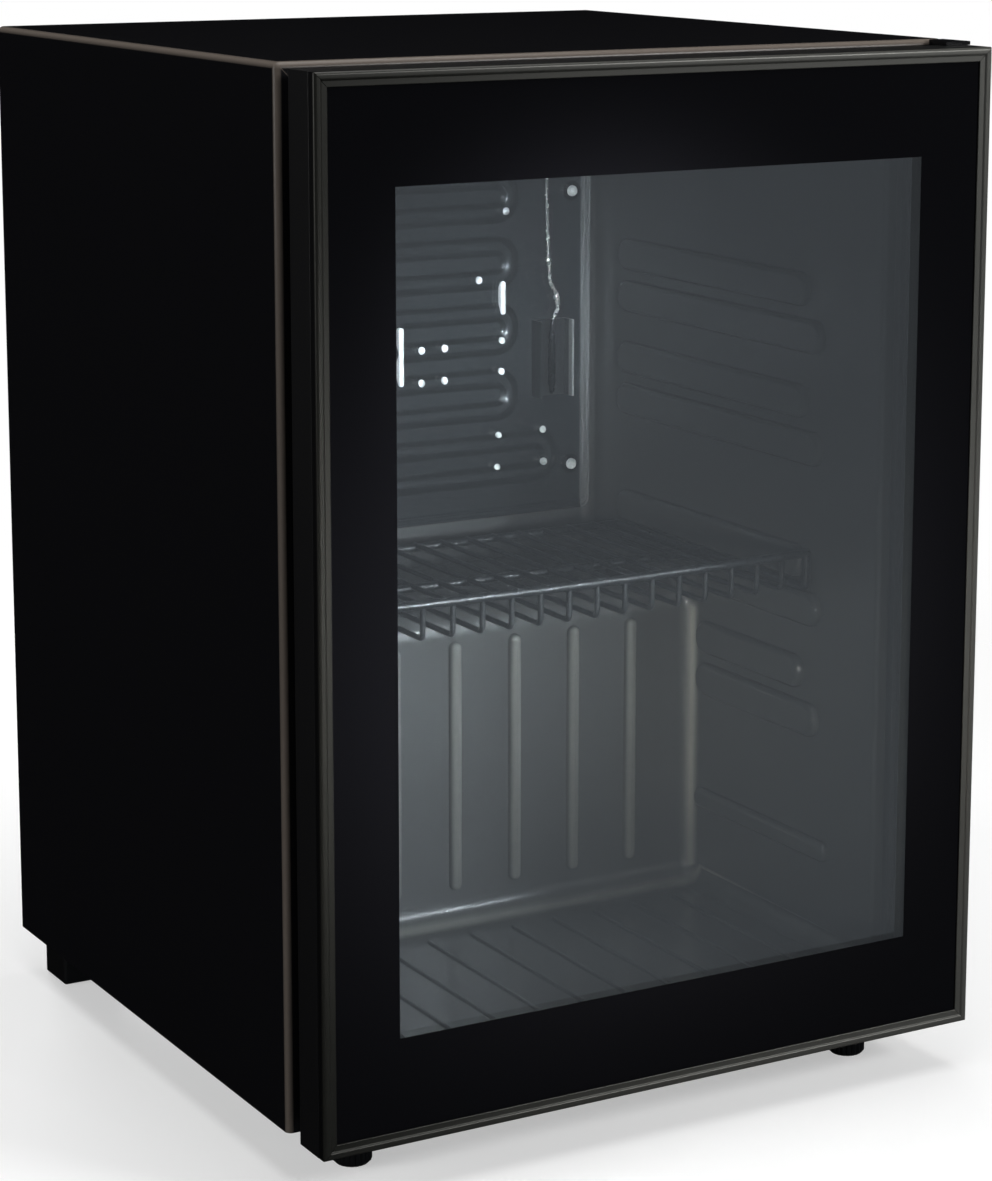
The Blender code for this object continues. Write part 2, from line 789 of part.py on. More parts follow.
def screw_places():
    """The evaporator's four fixing points, with the side and end that each is at."""
    low, high = evaporator_span()
    across = INNER_HALF - EVAPORATOR_SIDE - SCREW_SIDE
    levels = {"low": low + SCREW_LOW, "high": high - SCREW_HIGH}
    sides = {"left": -across, "right": across}
    return [(f"{side}_{end}", sides[side], levels[end]) for side in sides for end in levels]


def evaporator():
    """Roll-bonded plate on four posts, each with a screw and washer through the plate."""
    low, high = evaporator_span()
    face = evaporator_face()
    back = face + EVAPORATOR_SHEET
    half = INNER_HALF - EVAPORATOR_SIDE
    outline = plate_outline(half, low, high, EVAPORATOR_CORNER)
    plate = piece("evaporator_plate", prism(outline, "Y", face, back), ALUMINIUM, smooth=True)
    combine(plate, "channel", evaporator_channel(), "UNION")
    hole = SCREW_SHANK + SCREW_PLAY
    wall = INNER_BACK - GAP
    rods = []
    for place, across, level in screw_places():
        centre = (across, 0, level)
        rods.append(turned([(hole, face - LINER), (hole, back + LINER)], centre, "Y", sides=10))
        post = [(SPACER_POST, back + GAP), (SPACER_POST, wall), (hole, wall), (hole, back + GAP)]
        piece(f"evaporator_post_{place}", turned(post, centre, "Y", 12, bored=True), WHITE_PLASTIC, True)
        washer = face - GAP
        head = washer - WASHER_SHEET
        screw = [
            (SCREW_HEAD * 0.5, head - HEAD_HEIGHT),
            (SCREW_HEAD * 0.9, head - HEAD_HEIGHT * 0.6),
            (SCREW_HEAD, head),
            (SCREW_WASHER, head),
            (SCREW_WASHER, washer),
            (SCREW_SHANK, washer),
            (SCREW_SHANK, wall),
        ]
        piece(f"evaporator_screw_{place}", turned(screw, centre, "Y", 10), STEEL, True)
    combine(plate, "screw_holes", merged(rods), "DIFFERENCE")


def thermostat_box_corners():
    """The thermostat box's two corners, under the ceiling at the right."""
    right = INNER_HALF - THERMOSTAT_SIDE
    back = evaporator_face() - THERMOSTAT_BACK_SPACE
    high = INNER_TOP - GAP
    low_corner = Vector((right - THERMOSTAT_WIDTH, back - THERMOSTAT_DEPTH, high - THERMOSTAT_HEIGHT))
    return low_corner, Vector((right, back, high))


def thermostat():
    """Box under the ceiling with its knob at the front and its sensing tube down to the plate."""
    low, high = thermostat_box_corners()
    shape = block(low, high)

    def below(one, other):
        return max(one.z, other.z) < low.z + 1e-6 or abs(one.z - other.z) > 1e-6

    piece("thermostat_box", round_edges(shape, THERMOSTAT_ROUND, below, 2), BLACK_PLASTIC, smooth=True)
    centre = Vector(((low.x + high.x) / 2, low.y - GAP, (low.z + high.z) / 2))
    disc = [(KNOB_RADIUS, 0), (KNOB_RADIUS, -KNOB_DEPTH * 0.7), (KNOB_RADIUS * 0.9, -KNOB_DEPTH)]
    knob = piece("thermostat_knob", turned(disc, centre, "Y", 24), WHITE_PLASTIC, smooth=True)
    grip_low = centre + Vector((-KNOB_GRIP / 2, -KNOB_DEPTH - KNOB_GRIP_HEIGHT, -KNOB_RADIUS * 0.85))
    grip_high = centre + Vector((KNOB_GRIP / 2, -KNOB_DEPTH * 0.5, KNOB_RADIUS * 0.85))
    combine(knob, "grip", block(grip_low, grip_high), "UNION")
    pivot("thermostat_knob_axis", centre, [knob])
    sensing_tube(low.z)


def sensing_tube(box_floor):
    """U-shaped clip on the plate, the bulb in it and the thin tube that rises to the thermostat box."""
    low = evaporator_span()[0] + CLIP_FOOT
    high = low + CLIP_HEIGHT
    face = evaporator_face() - GAP
    right = INNER_HALF - EVAPORATOR_SIDE - CLIP_SIDE
    left = right - CLIP_WIDTH
    front = face - CLIP_DEPTH
    web = face - CLIP_WALL
    outline = [
        (left, front),
        (left, face),
        (right, face),
        (right, front),
        (right - CLIP_WALL, front),
        (right - CLIP_WALL, web),
        (left + CLIP_WALL, web),
        (left + CLIP_WALL, front),
    ]
    piece("bulb_clip", prism(outline, "Z", low, high), WHITE_PLASTIC)
    middle = (left + right) / 2
    inside = web - GAP - BULB_RADIUS
    hook = CLIP_WIDTH * 0.18
    top = box_floor - GAP
    forward = inside - CAPILLARY_STANDOFF
    route = [
        ((middle, inside, low + CLIP_WALL), BULB_RADIUS),
        ((middle, inside, high - 3 * BULB_RADIUS), BULB_RADIUS),
        ((middle, inside, high - BULB_RADIUS), CAPILLARY_RADIUS),
        ((middle + hook, inside, high + CLIP_WIDTH * 0.3), CAPILLARY_RADIUS),
        ((middle + hook * 0.6, inside, high + CLIP_WIDTH * 0.7), CAPILLARY_RADIUS),
        ((middle - hook * 0.4, inside, high + CLIP_WIDTH), CAPILLARY_RADIUS),
        ((middle - hook * 0.6, inside, high + CLIP_WIDTH * 1.6), CAPILLARY_RADIUS),
        ((middle - hook, inside, top - CLIP_WIDTH), CAPILLARY_RADIUS),
        ((middle - hook, inside - CAPILLARY_STANDOFF * 0.3, top - CLIP_WIDTH * 0.5), CAPILLARY_RADIUS),
        ((middle - hook, forward - CAPILLARY_STANDOFF, top - CLIP_WIDTH * 0.2), CAPILLARY_RADIUS),
        ((middle - hook, forward - CAPILLARY_STANDOFF * 1.4, top), CAPILLARY_RADIUS),
    ]
    shape = tube([point for point, _ in route], [radius for _, radius in route], sides=8)
    piece("thermostat_sensing_tube", shape, COPPER, smooth=True)


def door_corner(profile, side, end):
    """A profile of (inset, depth) set at one corner of the door, ready for a mitre."""
    level = {-1: BASE, 1: DOOR_TOP}[end]
    return [
        Vector((side * (HALF - inset), DOOR_FRONT + depth, level - end * inset)) for inset, depth in profile
    ]


def door_ring(profile):
    """A profile carried round all four sides of the door."""
    corners = [(-1, -1), (1, -1), (1, 1), (-1, 1)]
    return loft([door_corner(profile, *corner) for corner in corners], closed=True)


def door_trim():
    """Four mitred lengths of edge trim that hold the front pane, each with two ridges."""
    lip = GLASS_RECESS - GAP
    profile = [
        (0, TRIM_DEPTH),
        (0, TRIM_EDGE),
        (TRIM_EDGE, 0),
        (TRIM_RIDGE - TRIM_EDGE * 0.5, 0),
        (TRIM_RIDGE, TRIM_EDGE * 0.5),
        (TRIM_RIDGE + TRIM_EDGE * 0.5, lip - TRIM_LIP),
        (TRIM_WIDTH - TRIM_EDGE * 0.5, lip - TRIM_LIP),
        (TRIM_WIDTH, lip - TRIM_LIP * 0.5),
        (TRIM_WIDTH, lip),
        (FRAME_WALL, lip),
        (FRAME_WALL, TRIM_DEPTH),
    ]
    lengths = {
        "left": ((-1, -1), (-1, 1)),
        "right": ((1, -1), (1, 1)),
        "top": ((-1, 1), (1, 1)),
        "bottom": ((-1, -1), (1, -1)),
    }
    trims = []
    for name, (start, end) in lengths.items():
        first = door_corner(profile, *start)
        last = door_corner(profile, *end)
        inward = (last[0] - first[0]).normalized() * (GAP / 2)
        rings = [[point + inward for point in first], [point - inward for point in last]]
        trims.append(piece(f"door_trim_{name}", loft(rings), GUNMETAL))
    return trims


def door_depths():
    """Depths behind the door's front: front pane, spacer, inner pane and the frame's web."""
    front_pane = GLASS_RECESS
    spacer = front_pane + PANE + GAP
    inner_pane = spacer + SPACER_DEPTH + GAP
    web = inner_pane + PANE + GAP
    return front_pane, spacer, inner_pane, web


def hinge_axis():
    """The door's pivot, in the middle of the frame's web near its right edge."""
    web = door_depths()[3]
    return HALF - PIVOT_INSET, DOOR_FRONT + (web + DOOR_THICKNESS) / 2


def door_frame():
    """Moulded frame: a thin outer wall and a deep web behind the panes, grooved for the gasket."""
    web = door_depths()[3]
    groove = DOOR_THICKNESS - GROOVE_DEPTH
    profile = [
        (0, TRIM_DEPTH + GAP),
        (FRAME_WALL, TRIM_DEPTH + GAP),
        (FRAME_WALL, web),
        (FRAME_WEB - FRAME_WALL, web),
        (FRAME_WEB, web + FRAME_WALL),
        (FRAME_WEB, DOOR_THICKNESS),
        (GROOVE_INSET + GROOVE_WIDTH, DOOR_THICKNESS),
        (GROOVE_INSET + GROOVE_WIDTH, groove),
        (GROOVE_INSET, groove),
        (GROOVE_INSET, DOOR_THICKNESS),
        (0, DOOR_THICKNESS),
    ]
    frame = piece("door_frame", door_ring(profile), BLACK_PLASTIC)
    across, along = hinge_axis()
    radius = HINGE_BUSH + GAP
    depth = HINGE_BUSH_LENGTH + GAP
    spans = [(BASE - depth, BASE + depth), (DOOR_TOP - depth, DOOR_TOP + depth)]
    holes = [turned([(radius, low), (radius, high)], (across, along, 0), sides=16) for low, high in spans]
    combine(frame, "hinge_holes", merged(holes), "DIFFERENCE")
    return frame


def pane(name, depth):
    """One sheet of toughened glass inside the frame's outer wall."""
    inset = FRAME_WALL + GAP
    low = (-HALF + inset, DOOR_FRONT + depth, BASE + inset)
    high = (HALF - inset, DOOR_FRONT + depth + PANE, DOOR_TOP - inset)
    return piece(name, block(low, high), GLASS)


def door_gasket():
    """Magnetic bellows gasket: a dart in the frame's groove, a waist and a flat head on the cabinet."""
    base = DOOR_THICKNESS + GAP
    seal = DOOR_THICKNESS + GASKET_GAP - GAP
    outer = GASKET_INSET
    inner = GASKET_INSET + GASKET_WIDTH
    middle = (base + GASKET_BASE + seal - GASKET_HEAD) / 2
    dart_low = GROOVE_INSET + GAP
    dart_high = GROOVE_INSET + GROOVE_WIDTH - GAP
    profile = [
        (dart_low, DOOR_THICKNESS - GROOVE_DEPTH + GAP),
        (dart_high, DOOR_THICKNESS - GROOVE_DEPTH + GAP),
        (dart_high, base),
        (inner, base),
        (inner, base + GASKET_BASE),
        (inner - GASKET_WAIST, middle),
        (inner, seal - GASKET_HEAD),
        (inner, seal),
        (outer, seal),
        (outer, seal - GASKET_HEAD),
        (outer + GASKET_WAIST, middle),
        (outer, base + GASKET_BASE),
        (outer, base),
        (dart_low, base),
    ]
    return piece("door_gasket", door_ring(profile), RUBBER)


def hinge_bushes():
    """Nylon bushes pressed into the door's top and bottom edges."""
    across, along = hinge_axis()
    bore = HINGE_PIN + GAP
    bushes = []
    for name, edge, inward in (("bottom", BASE, 1), ("top", DOOR_TOP, -1)):
        end = edge + inward * HINGE_BUSH_LENGTH
        profile = [(HINGE_BUSH, edge), (HINGE_BUSH, end), (bore, end), (bore, edge)]
        shape = turned(profile, (across, along, 0), sides=16, bored=True)
        bushes.append(piece(f"hinge_bush_{name}", shape, NYLON, smooth=True))
    return bushes


def door():
    """The door's pieces, hung on its hinge axis."""
    front_pane, spacer, inner_pane, _ = door_depths()
    far = SPACER_INSET + SPACER_WIDTH
    deep = spacer + SPACER_DEPTH
    ring = [(SPACER_INSET, spacer), (far, spacer), (far, deep), (SPACER_INSET, deep)]
    pieces = [
        door_frame(),
        pane("front_pane", front_pane),
        pane("inner_pane", inner_pane),
        piece("pane_spacer", door_ring(ring), BLACK_PLASTIC),
        door_gasket(),
    ]
    pieces += door_trim() + hinge_bushes()
    across, along = hinge_axis()
    pivot("door_axis", (across, along, (BASE + DOOR_TOP) / 2), pieces)


def hinges():
    """Angle brackets on the cabinet's front with a tongue over or under the door and a pin into it."""
    across, along = hinge_axis()
    right = HALF - HINGE_EDGE
    left = right - HINGE_WIDTH
    fixed = FRONT - GAP
    for name, edge, inward in (("bottom", BASE, 1), ("top", DOOR_TOP, -1)):
        near = edge - inward * GAP
        outer = near - inward * HINGE_SHEET
        leg_end = edge + inward * HINGE_LEG
        outline = [
            (fixed, outer),
            (fixed, leg_end),
            (fixed - HINGE_SHEET, leg_end),
            (fixed - HINGE_SHEET, near),
            (along - HINGE_TONGUE, near),
            (along - HINGE_TONGUE, outer),
        ]
        bracket = piece(f"hinge_{name}", prism(outline, "X", left, right), BLACK_PAINT)
        tongue = block(
            (across - HINGE_TONGUE, along - HINGE_TONGUE, min(near, outer)),
            (across + HINGE_TONGUE, along + HINGE_TONGUE, max(near, outer)),
        )
        combine(bracket, "tongue", tongue, "UNION")
        pin = [(HINGE_PIN, near - inward * HINGE_SHEET / 2), (HINGE_PIN, near + inward * HINGE_PIN_LENGTH)]
        combine(bracket, "pin", turned(pin, (across, along, 0), sides=16), "UNION")


def front_feet():
    """Round knurled feet on threaded stems that screw into the base pan."""
    top = BASE - GAP
    for name, place in zip(("left", "right"), foot_places()):
        count = 2 * FRONT_FOOT_KNURLS

        def ring(radius, knurl, level):
            points = []
            for index in range(count):
                angle = 2 * math.pi * index / count
                reach = radius - knurl * (index % 2)
                points.append((place[0] + reach * math.cos(angle), place[1] + reach * math.sin(angle), level))
            return points

        rings = [
            ring(FRONT_FOOT_RADIUS - FOOT_CHAMFER, 0, 0),
            ring(FRONT_FOOT_RADIUS, KNURL_DEPTH, FOOT_CHAMFER),
            ring(FRONT_FOOT_RADIUS, KNURL_DEPTH, top),
            ring(STEM_RADIUS, 0, top),
            ring(STEM_RADIUS, 0, BASE + STEM_LENGTH),
        ]
        foot = piece(f"front_foot_{name}", loft(rings), BLACK_PLASTIC)
        pivot(f"front_foot_{name}_axis", (*place, 0), [foot])


def rear_feet():
    """Square block feet under the compressor tray."""
    back = BACK - REAR_FOOT_SETBACK
    outer = HALF - REAR_FOOT_INSET
    for name, side in (("left", -1), ("right", 1)):
        ends = sorted((side * outer, side * (outer - REAR_FOOT_WIDTH)))
        shape = block((ends[0], back - REAR_FOOT_DEPTH, 0), (ends[1], back, BASE - GAP))

        def upright(one, other):
            return abs(one.z - other.z) > 1e-6

        piece(f"rear_foot_{name}", round_edges(shape, REAR_FOOT_ROUND, upright, 2), BLACK_PLASTIC)


def bay_middle():
    """The compressor's place on the bay's floor plan."""
    return COMPRESSOR_OFFSET, (BAY_FRONT + BACK) / 2


def compressor_levels():
    """Heights of the tray's top, the leg plate's underside and the can's lowest point."""
    tray = BASE + TRAY_SHEET
    plate = tray + GROMMET_HEIGHT + 2 * GAP
    return tray, plate, plate - LEG_PLATE_LEVEL


def compressor_tray():
    """Cross sheet that carries the compressor, lipped against the wrap's sides."""
    half = HALF - SHEET - GAP
    lip = BASE + TRAY_LIP
    floor = BASE + TRAY_SHEET
    inner = half - TRAY_SHEET
    outline = [
        (-half, BASE),
        (half, BASE),
        (half, lip),
        (inner, lip),
        (inner, floor),
        (-inner, floor),
        (-inner, lip),
        (-half, lip),
    ]
    shape = prism(outline, "Y", BAY_FRONT + TRAY_START, BACK - TRAY_SETBACK)
    piece("compressor_tray", shape, GALVANISED)


def can(grow):
    """The compressor's welded steel can, grown by a clearance."""
    low = compressor_levels()[2]
    rim = low + WELD_RIM_LEVEL
    high = low + COMPRESSOR_HEIGHT
    half = COMPRESSOR_HALF_WIDTH + grow
    edge = half + WELD_RIM
    flat = COMPRESSOR_HALF_DEPTH / COMPRESSOR_HALF_WIDTH
    profile = [
        (half * 0.72, low - grow),
        (half * 0.90, low + COMPRESSOR_DOME * 0.25),
        (half, low + COMPRESSOR_DOME * 0.8),
        (half, rim),
        (edge, rim),
        (edge, rim + WELD_RIM_HEIGHT),
        (half * 0.98, rim + WELD_RIM_HEIGHT),
        (half * 0.96, high - COMPRESSOR_DOME),
        (half * 0.86, high - COMPRESSOR_DOME * 0.4),
        (half * 0.62, high - COMPRESSOR_DOME * 0.1),
        (half * 0.30, high + grow),
    ]
    return turned(profile, (*bay_middle(), 0), sides=28, stretch=(1.0, flat))


def grommet_places():
    """The leg plate's four corners."""
    across, along = bay_middle()
    half_width = LEG_PLATE_WIDTH / 2 - GROMMET_INSET
    half_depth = LEG_PLATE_DEPTH / 2 - GROMMET_INSET
    return [
        (across + side * half_width, along + end * half_depth) for side in (-1, 1) for end in (-1, 1)
    ]


def compressor():
    """Hermetic compressor on a leg plate with four rubber grommets."""
    tray, plate, _ = compressor_levels()
    across, along = bay_middle()
    unit = piece("compressor", can(0.0), BLACK_PAINT, smooth=True)
    corners = plate_outline(LEG_PLATE_WIDTH / 2, -LEG_PLATE_DEPTH / 2, LEG_PLATE_DEPTH / 2, LEG_PLATE_ROUND)
    outline = [(across + point.x, along + point.y) for point in corners]
    combine(unit, "leg_plate", prism(outline, "Z", plate, plate + LEG_PLATE_SHEET), "UNION")
    hole = GROMMET_NECK + GAP
    rods = []
    for number, place in enumerate(grommet_places(), 1):
        profile = [(hole, plate - LEG_PLATE_SHEET), (hole, plate + 2 * LEG_PLATE_SHEET)]
        rods.append(turned(profile, (*place, 0), sides=10))
        neck_top = plate + LEG_PLATE_SHEET + GAP
        rubber = [
            (GROMMET_RADIUS, tray + GAP),
            (GROMMET_RADIUS, tray + GAP + GROMMET_HEIGHT),
            (GROMMET_NECK, tray + GAP + GROMMET_HEIGHT),
            (GROMMET_NECK, neck_top),
            (GROMMET_CAP, neck_top),
            (GROMMET_CAP, neck_top + GROMMET_CAP_HEIGHT),
        ]
        piece(f"compressor_grommet_{number}", turned(rubber, (*place, 0), sides=10), RUBBER, smooth=True)
    combine(unit, "grommet_holes", merged(rods), "DIFFERENCE")


def relay_cover():
    """Cover over the compressor's terminals, with the gland where the mains lead would enter."""
    across, along = bay_middle()
    left = across + COMPRESSOR_HALF_WIDTH * 0.8
    right = across + COMPRESSOR_HALF_WIDTH + WELD_RIM + RELAY_WIDTH
    low = compressor_levels()[2] + RELAY_LEVEL
    back = along + RELAY_DEPTH / 2
    shape = block((left, along - RELAY_DEPTH / 2, low), (right, back, low + RELAY_HEIGHT))

    def outer(one, other):
        return min(one.x, other.x) > right - 1e-6

    cover = piece("relay_cover", round_edges(shape, RELAY_ROUND, outer, 2), BLACK_PLASTIC, smooth=True)
    combine(cover, "can_space", can(GAP), "DIFFERENCE")
    centre = (right - RELAY_WIDTH / 2, back + GAP, low + RELAY_HEIGHT / 2)
    profile = [
        (GLAND_RADIUS, 0),
        (GLAND_RADIUS, GLAND_FLANGE),
        (GLAND_NECK, GLAND_FLANGE),
        (GLAND_NECK, GLAND_LENGTH),
        (GLAND_BORE, GLAND_LENGTH),
        (GLAND_BORE, 0),
    ]
    piece("cord_gland", turned(profile, centre, "Y", 12, bored=True), RUBBER, smooth=True)


def drain():
    """Drain tube from the hump's top through the foam, over a drip tray on the warm compressor."""
    across, along = drain_place()
    flange = HUMP_TOP + GAP
    tray_floor = compressor_levels()[2] + COMPRESSOR_HEIGHT + GAP
    end = tray_floor + DRIP_TRAY_HEIGHT + GAP
    profile = [
        (DRAIN_FLANGE, flange),
        (DRAIN_FLANGE, flange + DRAIN_FLANGE_SHEET),
        (DRAIN_BORE, flange + DRAIN_FLANGE_SHEET),
        (DRAIN_BORE, end),
        (DRAIN_RADIUS, end),
        (DRAIN_RADIUS, flange),
    ]
    piece("drain_tube", turned(profile, (across, along, 0), sides=12, bored=True), WHITE_PLASTIC, smooth=True)
    middle = Vector((*bay_middle(), 0))
    half = Vector((DRIP_TRAY_WIDTH / 2, DRIP_TRAY_DEPTH / 2, 0))
    wall = Vector((DRIP_TRAY_WALL, DRIP_TRAY_WALL, 0))
    rise = Vector((0, 0, 1))
    low = middle - half + rise * tray_floor
    high = middle + half + rise * (tray_floor + DRIP_TRAY_HEIGHT)
    tray = piece("drip_tray", block(low, high), BLACK_PLASTIC)
    hollow = block(low + wall + rise * DRIP_TRAY_WALL, high - wall + rise * DRIP_TRAY_HEIGHT)
    combine(tray, "hollow", hollow, "DIFFERENCE")


def can_side(angle, level):
    """A point just off the can's wall, and the way straight out from it."""
    across, along = bay_middle()
    wall = Vector((COMPRESSOR_HALF_WIDTH * math.cos(angle), COMPRESSOR_HALF_DEPTH * math.sin(angle), 0))
    out = Vector((wall.x / COMPRESSOR_HALF_WIDTH**2, wall.y / COMPRESSOR_HALF_DEPTH**2, 0)).normalized()
    return Vector((across, along, level)) + wall + out * GAP, out


def condenser_plane():
    """The plane of the condenser's tube behind the rear panel."""
    return PANEL_BACK + CONDENSER_STANDOFF


def condenser_levels():
    """Levels of the condenser's passes, an odd number, from the top down."""
    low = BAY_TOP + CONDENSER_FOOT
    high = TOP - CONDENSER_HEAD
    count = int((high - low) / CONDENSER_PITCH) + 1
    count -= 1 - count % 2
    return [high - index * CONDENSER_PITCH for index in range(count)]


def riser_place():
    """The condenser's inlet: a riser beside the passes that starts over the compressor bay."""
    return -(HALF - CONDENSER_SIDE + CONDENSER_RISER), BAY_TOP - PIPE_BEND


def drier_top():
    """The top of the filter drier, under the end of the condenser's last pass."""
    return BASE + DRIER_LEVEL + DRIER_LENGTH


def condenser():
    """Serpentine tube with wires across it on two brackets, in the recess behind the rear panel."""
    half = HALF - CONDENSER_SIDE
    plane = condenser_plane()
    levels = condenser_levels()
    riser, start = riser_place()
    corners = [(riser, plane, start), (riser, plane, levels[0])]
    for index, level in enumerate(levels):
        side = 1 if index % 2 else -1
        if index:
            corners.append((side * half, plane, level))
        corners.append((-side * half, plane, level))
    corners.append((half, plane, drier_top() + GAP))
    bend = CONDENSER_PITCH / 2 - GAP
    path = rounded(corners, [bend] * len(corners), steps=4)
    piece("condenser_tube", pipe(path, CONDENSER_TUBE, 6), BLACK_PAINT, smooth=True)
    face = plane + CONDENSER_TUBE + GAP
    low = levels[-1] - CONDENSER_PITCH / 2
    high = levels[0] + CONDENSER_PITCH / 2
    places = pattern(half - CONDENSER_PITCH, CONDENSER_WIRE_PITCH)
    reach = places[-1] + CONDENSER_WIRE / 2
    grid = piece(
        "condenser_wires",
        block((-reach, face, low), (reach, face + CONDENSER_WIRE, high)),
        BLACK_PAINT,
    )
    slots = []
    for left, right in zip(places, places[1:]):
        near = (left + CONDENSER_WIRE / 2, face - CONDENSER_WIRE, low + CONDENSER_WIRE)
        far = (right - CONDENSER_WIRE / 2, face + 2 * CONDENSER_WIRE, high - CONDENSER_WIRE)
        slots.append(block(near, far))
    combine(grid, "slots", merged(slots), "DIFFERENCE")
    for name, side in (("left", -1), ("right", 1)):
        across = side * (half - BRACKET_INSET)
        near = (across - BRACKET_WIDTH / 2, PANEL_BACK + GAP, low)
        far = (across + BRACKET_WIDTH / 2, plane - CONDENSER_TUBE - GAP, high)
        bracket = piece(f"condenser_bracket_{name}", block(near, far), GALVANISED)
        hollow_near = (near[0] + SHEET, near[1] - SHEET, low - SHEET)
        hollow_far = (far[0] - SHEET, far[1] - SHEET, high + SHEET)
        combine(bracket, "hollow", block(hollow_near, hollow_far), "DIFFERENCE")


def refrigerant_pipes():
    """Discharge, suction and capillary pipes and the filter drier."""
    level = compressor_levels()[2] + PIPE_LEVEL
    plane = condenser_plane()
    riser, start = riser_place()
    outlet, out = can_side(math.radians(165), level)
    corner = outlet + out * PIPE_BEND * 1.5
    route = [outlet, corner, (riser, plane, corner.z), (riser, plane, start - GAP)]
    path = rounded(route, [0, PIPE_BEND * 0.8, PIPE_BEND, 0], steps=4)
    piece("discharge_pipe", pipe(path, DISCHARGE_RADIUS, 8), COPPER, smooth=True)
    inlet, out = can_side(math.radians(215), level)
    corner = inlet + out * PIPE_BEND * 1.6
    path = rounded([inlet, corner, (corner.x, corner.y, BAY_TOP - GAP)], [0, PIPE_BEND, 0], steps=4)
    piece("suction_pipe", pipe(path, SUCTION_RADIUS, 8), COPPER, smooth=True)
    across = HALF - CONDENSER_SIDE
    low = BASE + DRIER_LEVEL
    high = drier_top()
    profile = [
        (CONDENSER_TUBE, low),
        (DRIER_RADIUS, low + DRIER_TAPER),
        (DRIER_RADIUS, high - DRIER_TAPER),
        (CONDENSER_TUBE, high),
    ]
    piece("filter_drier", turned(profile, (across, plane, 0), sides=14), COPPER, smooth=True)
    turn = low - PIPE_BEND * 1.5
    route = [(across, plane, low - GAP), (across, plane, turn), (across, BAY_FRONT + GAP, turn)]
    path = rounded(route, [0, PIPE_BEND, 0], steps=4)
    piece("capillary_pipe", pipe(path, CAPILLARY_RADIUS, 6), COPPER, smooth=True)


cabinet_wrap()
rear_panel()
base_pan()
insulation_foam()
inner_liner()
evaporator()
thermostat()
wire_shelf()
compressor_tray()
compressor()
relay_cover()
drain()
condenser()
refrigerant_pipes()
front_feet()
rear_feet()
door()
hinges()
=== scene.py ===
"""Small black beverage refrigerator with a glass door hinged on the right.

The sections follow the refrigerator as it is put together, from the sheet metal at its back to the door's
trim. Lengths are in metres in the CAD part's frame: it stands on the floor at z = 0 and its door faces -Y.
"""

import math

import bmesh
import bpy
import numpy as np
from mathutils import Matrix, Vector


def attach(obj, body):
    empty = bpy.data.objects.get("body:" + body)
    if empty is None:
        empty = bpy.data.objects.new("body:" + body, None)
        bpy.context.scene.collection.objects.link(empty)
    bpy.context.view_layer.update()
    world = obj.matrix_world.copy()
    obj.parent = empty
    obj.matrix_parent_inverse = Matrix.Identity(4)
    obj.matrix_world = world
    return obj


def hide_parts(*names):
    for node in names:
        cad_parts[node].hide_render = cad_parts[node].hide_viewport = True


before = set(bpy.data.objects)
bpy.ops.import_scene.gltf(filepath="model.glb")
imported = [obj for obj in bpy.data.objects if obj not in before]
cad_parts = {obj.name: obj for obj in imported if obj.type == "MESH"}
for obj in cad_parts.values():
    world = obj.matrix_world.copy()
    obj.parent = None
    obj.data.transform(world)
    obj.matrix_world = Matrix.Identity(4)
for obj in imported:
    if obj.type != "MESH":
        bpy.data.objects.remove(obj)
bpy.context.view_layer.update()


# Rear panel, base pan, compressor tray and condenser brackets. Galvanised steel sheet, cut and bent, held by
# the foam or by the wrap's edges. The CAD solids have their bends already, so they only take the finish.


def linear(code):
    """An sRGB hex colour as linear red, green, blue and alpha."""
    share = np.array([int(code[place : place + 2], 16) for place in (1, 3, 5)]) / 255
    value = np.where(share <= 0.04045, share / 12.92, ((share + 0.055) / 1.055) ** 2.4)
    return (*value.tolist(), 1)


def add_node(tree, kind, settings=None, links=None):
    """Adds a node, sets its properties and sockets by name, and links sockets to its inputs."""
    node = tree.nodes.new("ShaderNode" + kind)
    for key, value in (settings or {}).items():
        if isinstance(key, str) and hasattr(node, key):
            setattr(node, key, value)
        else:
            node.inputs[key].default_value = value
    for key, socket in (links or {}).items():
        tree.links.new(socket, node.inputs[key])
    return node


def new_material(name, colour, roughness, **sockets):
    """A material on one Principled shader; a socket's name is written with _ for each space."""
    material = bpy.data.materials.new(name)
    material.use_nodes = True
    tree = material.node_tree
    shader = tree.nodes["Principled BSDF"]
    shader.inputs["Base Color"].default_value = linear(colour)
    shader.inputs["Roughness"].default_value = roughness
    for key, value in sockets.items():
        shader.inputs[key.replace("_", " ")].default_value = value
    return material, tree, shader


def shade(tree, shader, share, stops):
    """Base colour that runs through the stops' colours with a share, or with one that a piece keeps."""
    if isinstance(share, str):
        share = add_node(tree, "Attribute", {"attribute_name": share}).outputs["Fac"]
    ramp = add_node(tree, "ValToRGB", links={"Fac": share})
    colours = ramp.color_ramp.elements
    for number, (position, colour) in enumerate(stops.items()):
        stop = colours[number] if number < 2 else colours.new(position)
        stop.position = position
        stop.color = linear(colour)
    tree.links.new(ramp.outputs["Color"], shader.inputs["Base Color"])


def dress(material, *nodes):
    """Gives CAD nodes a finish."""
    for node in nodes:
        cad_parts[node].data.materials.clear()
        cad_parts[node].data.materials.append(material)


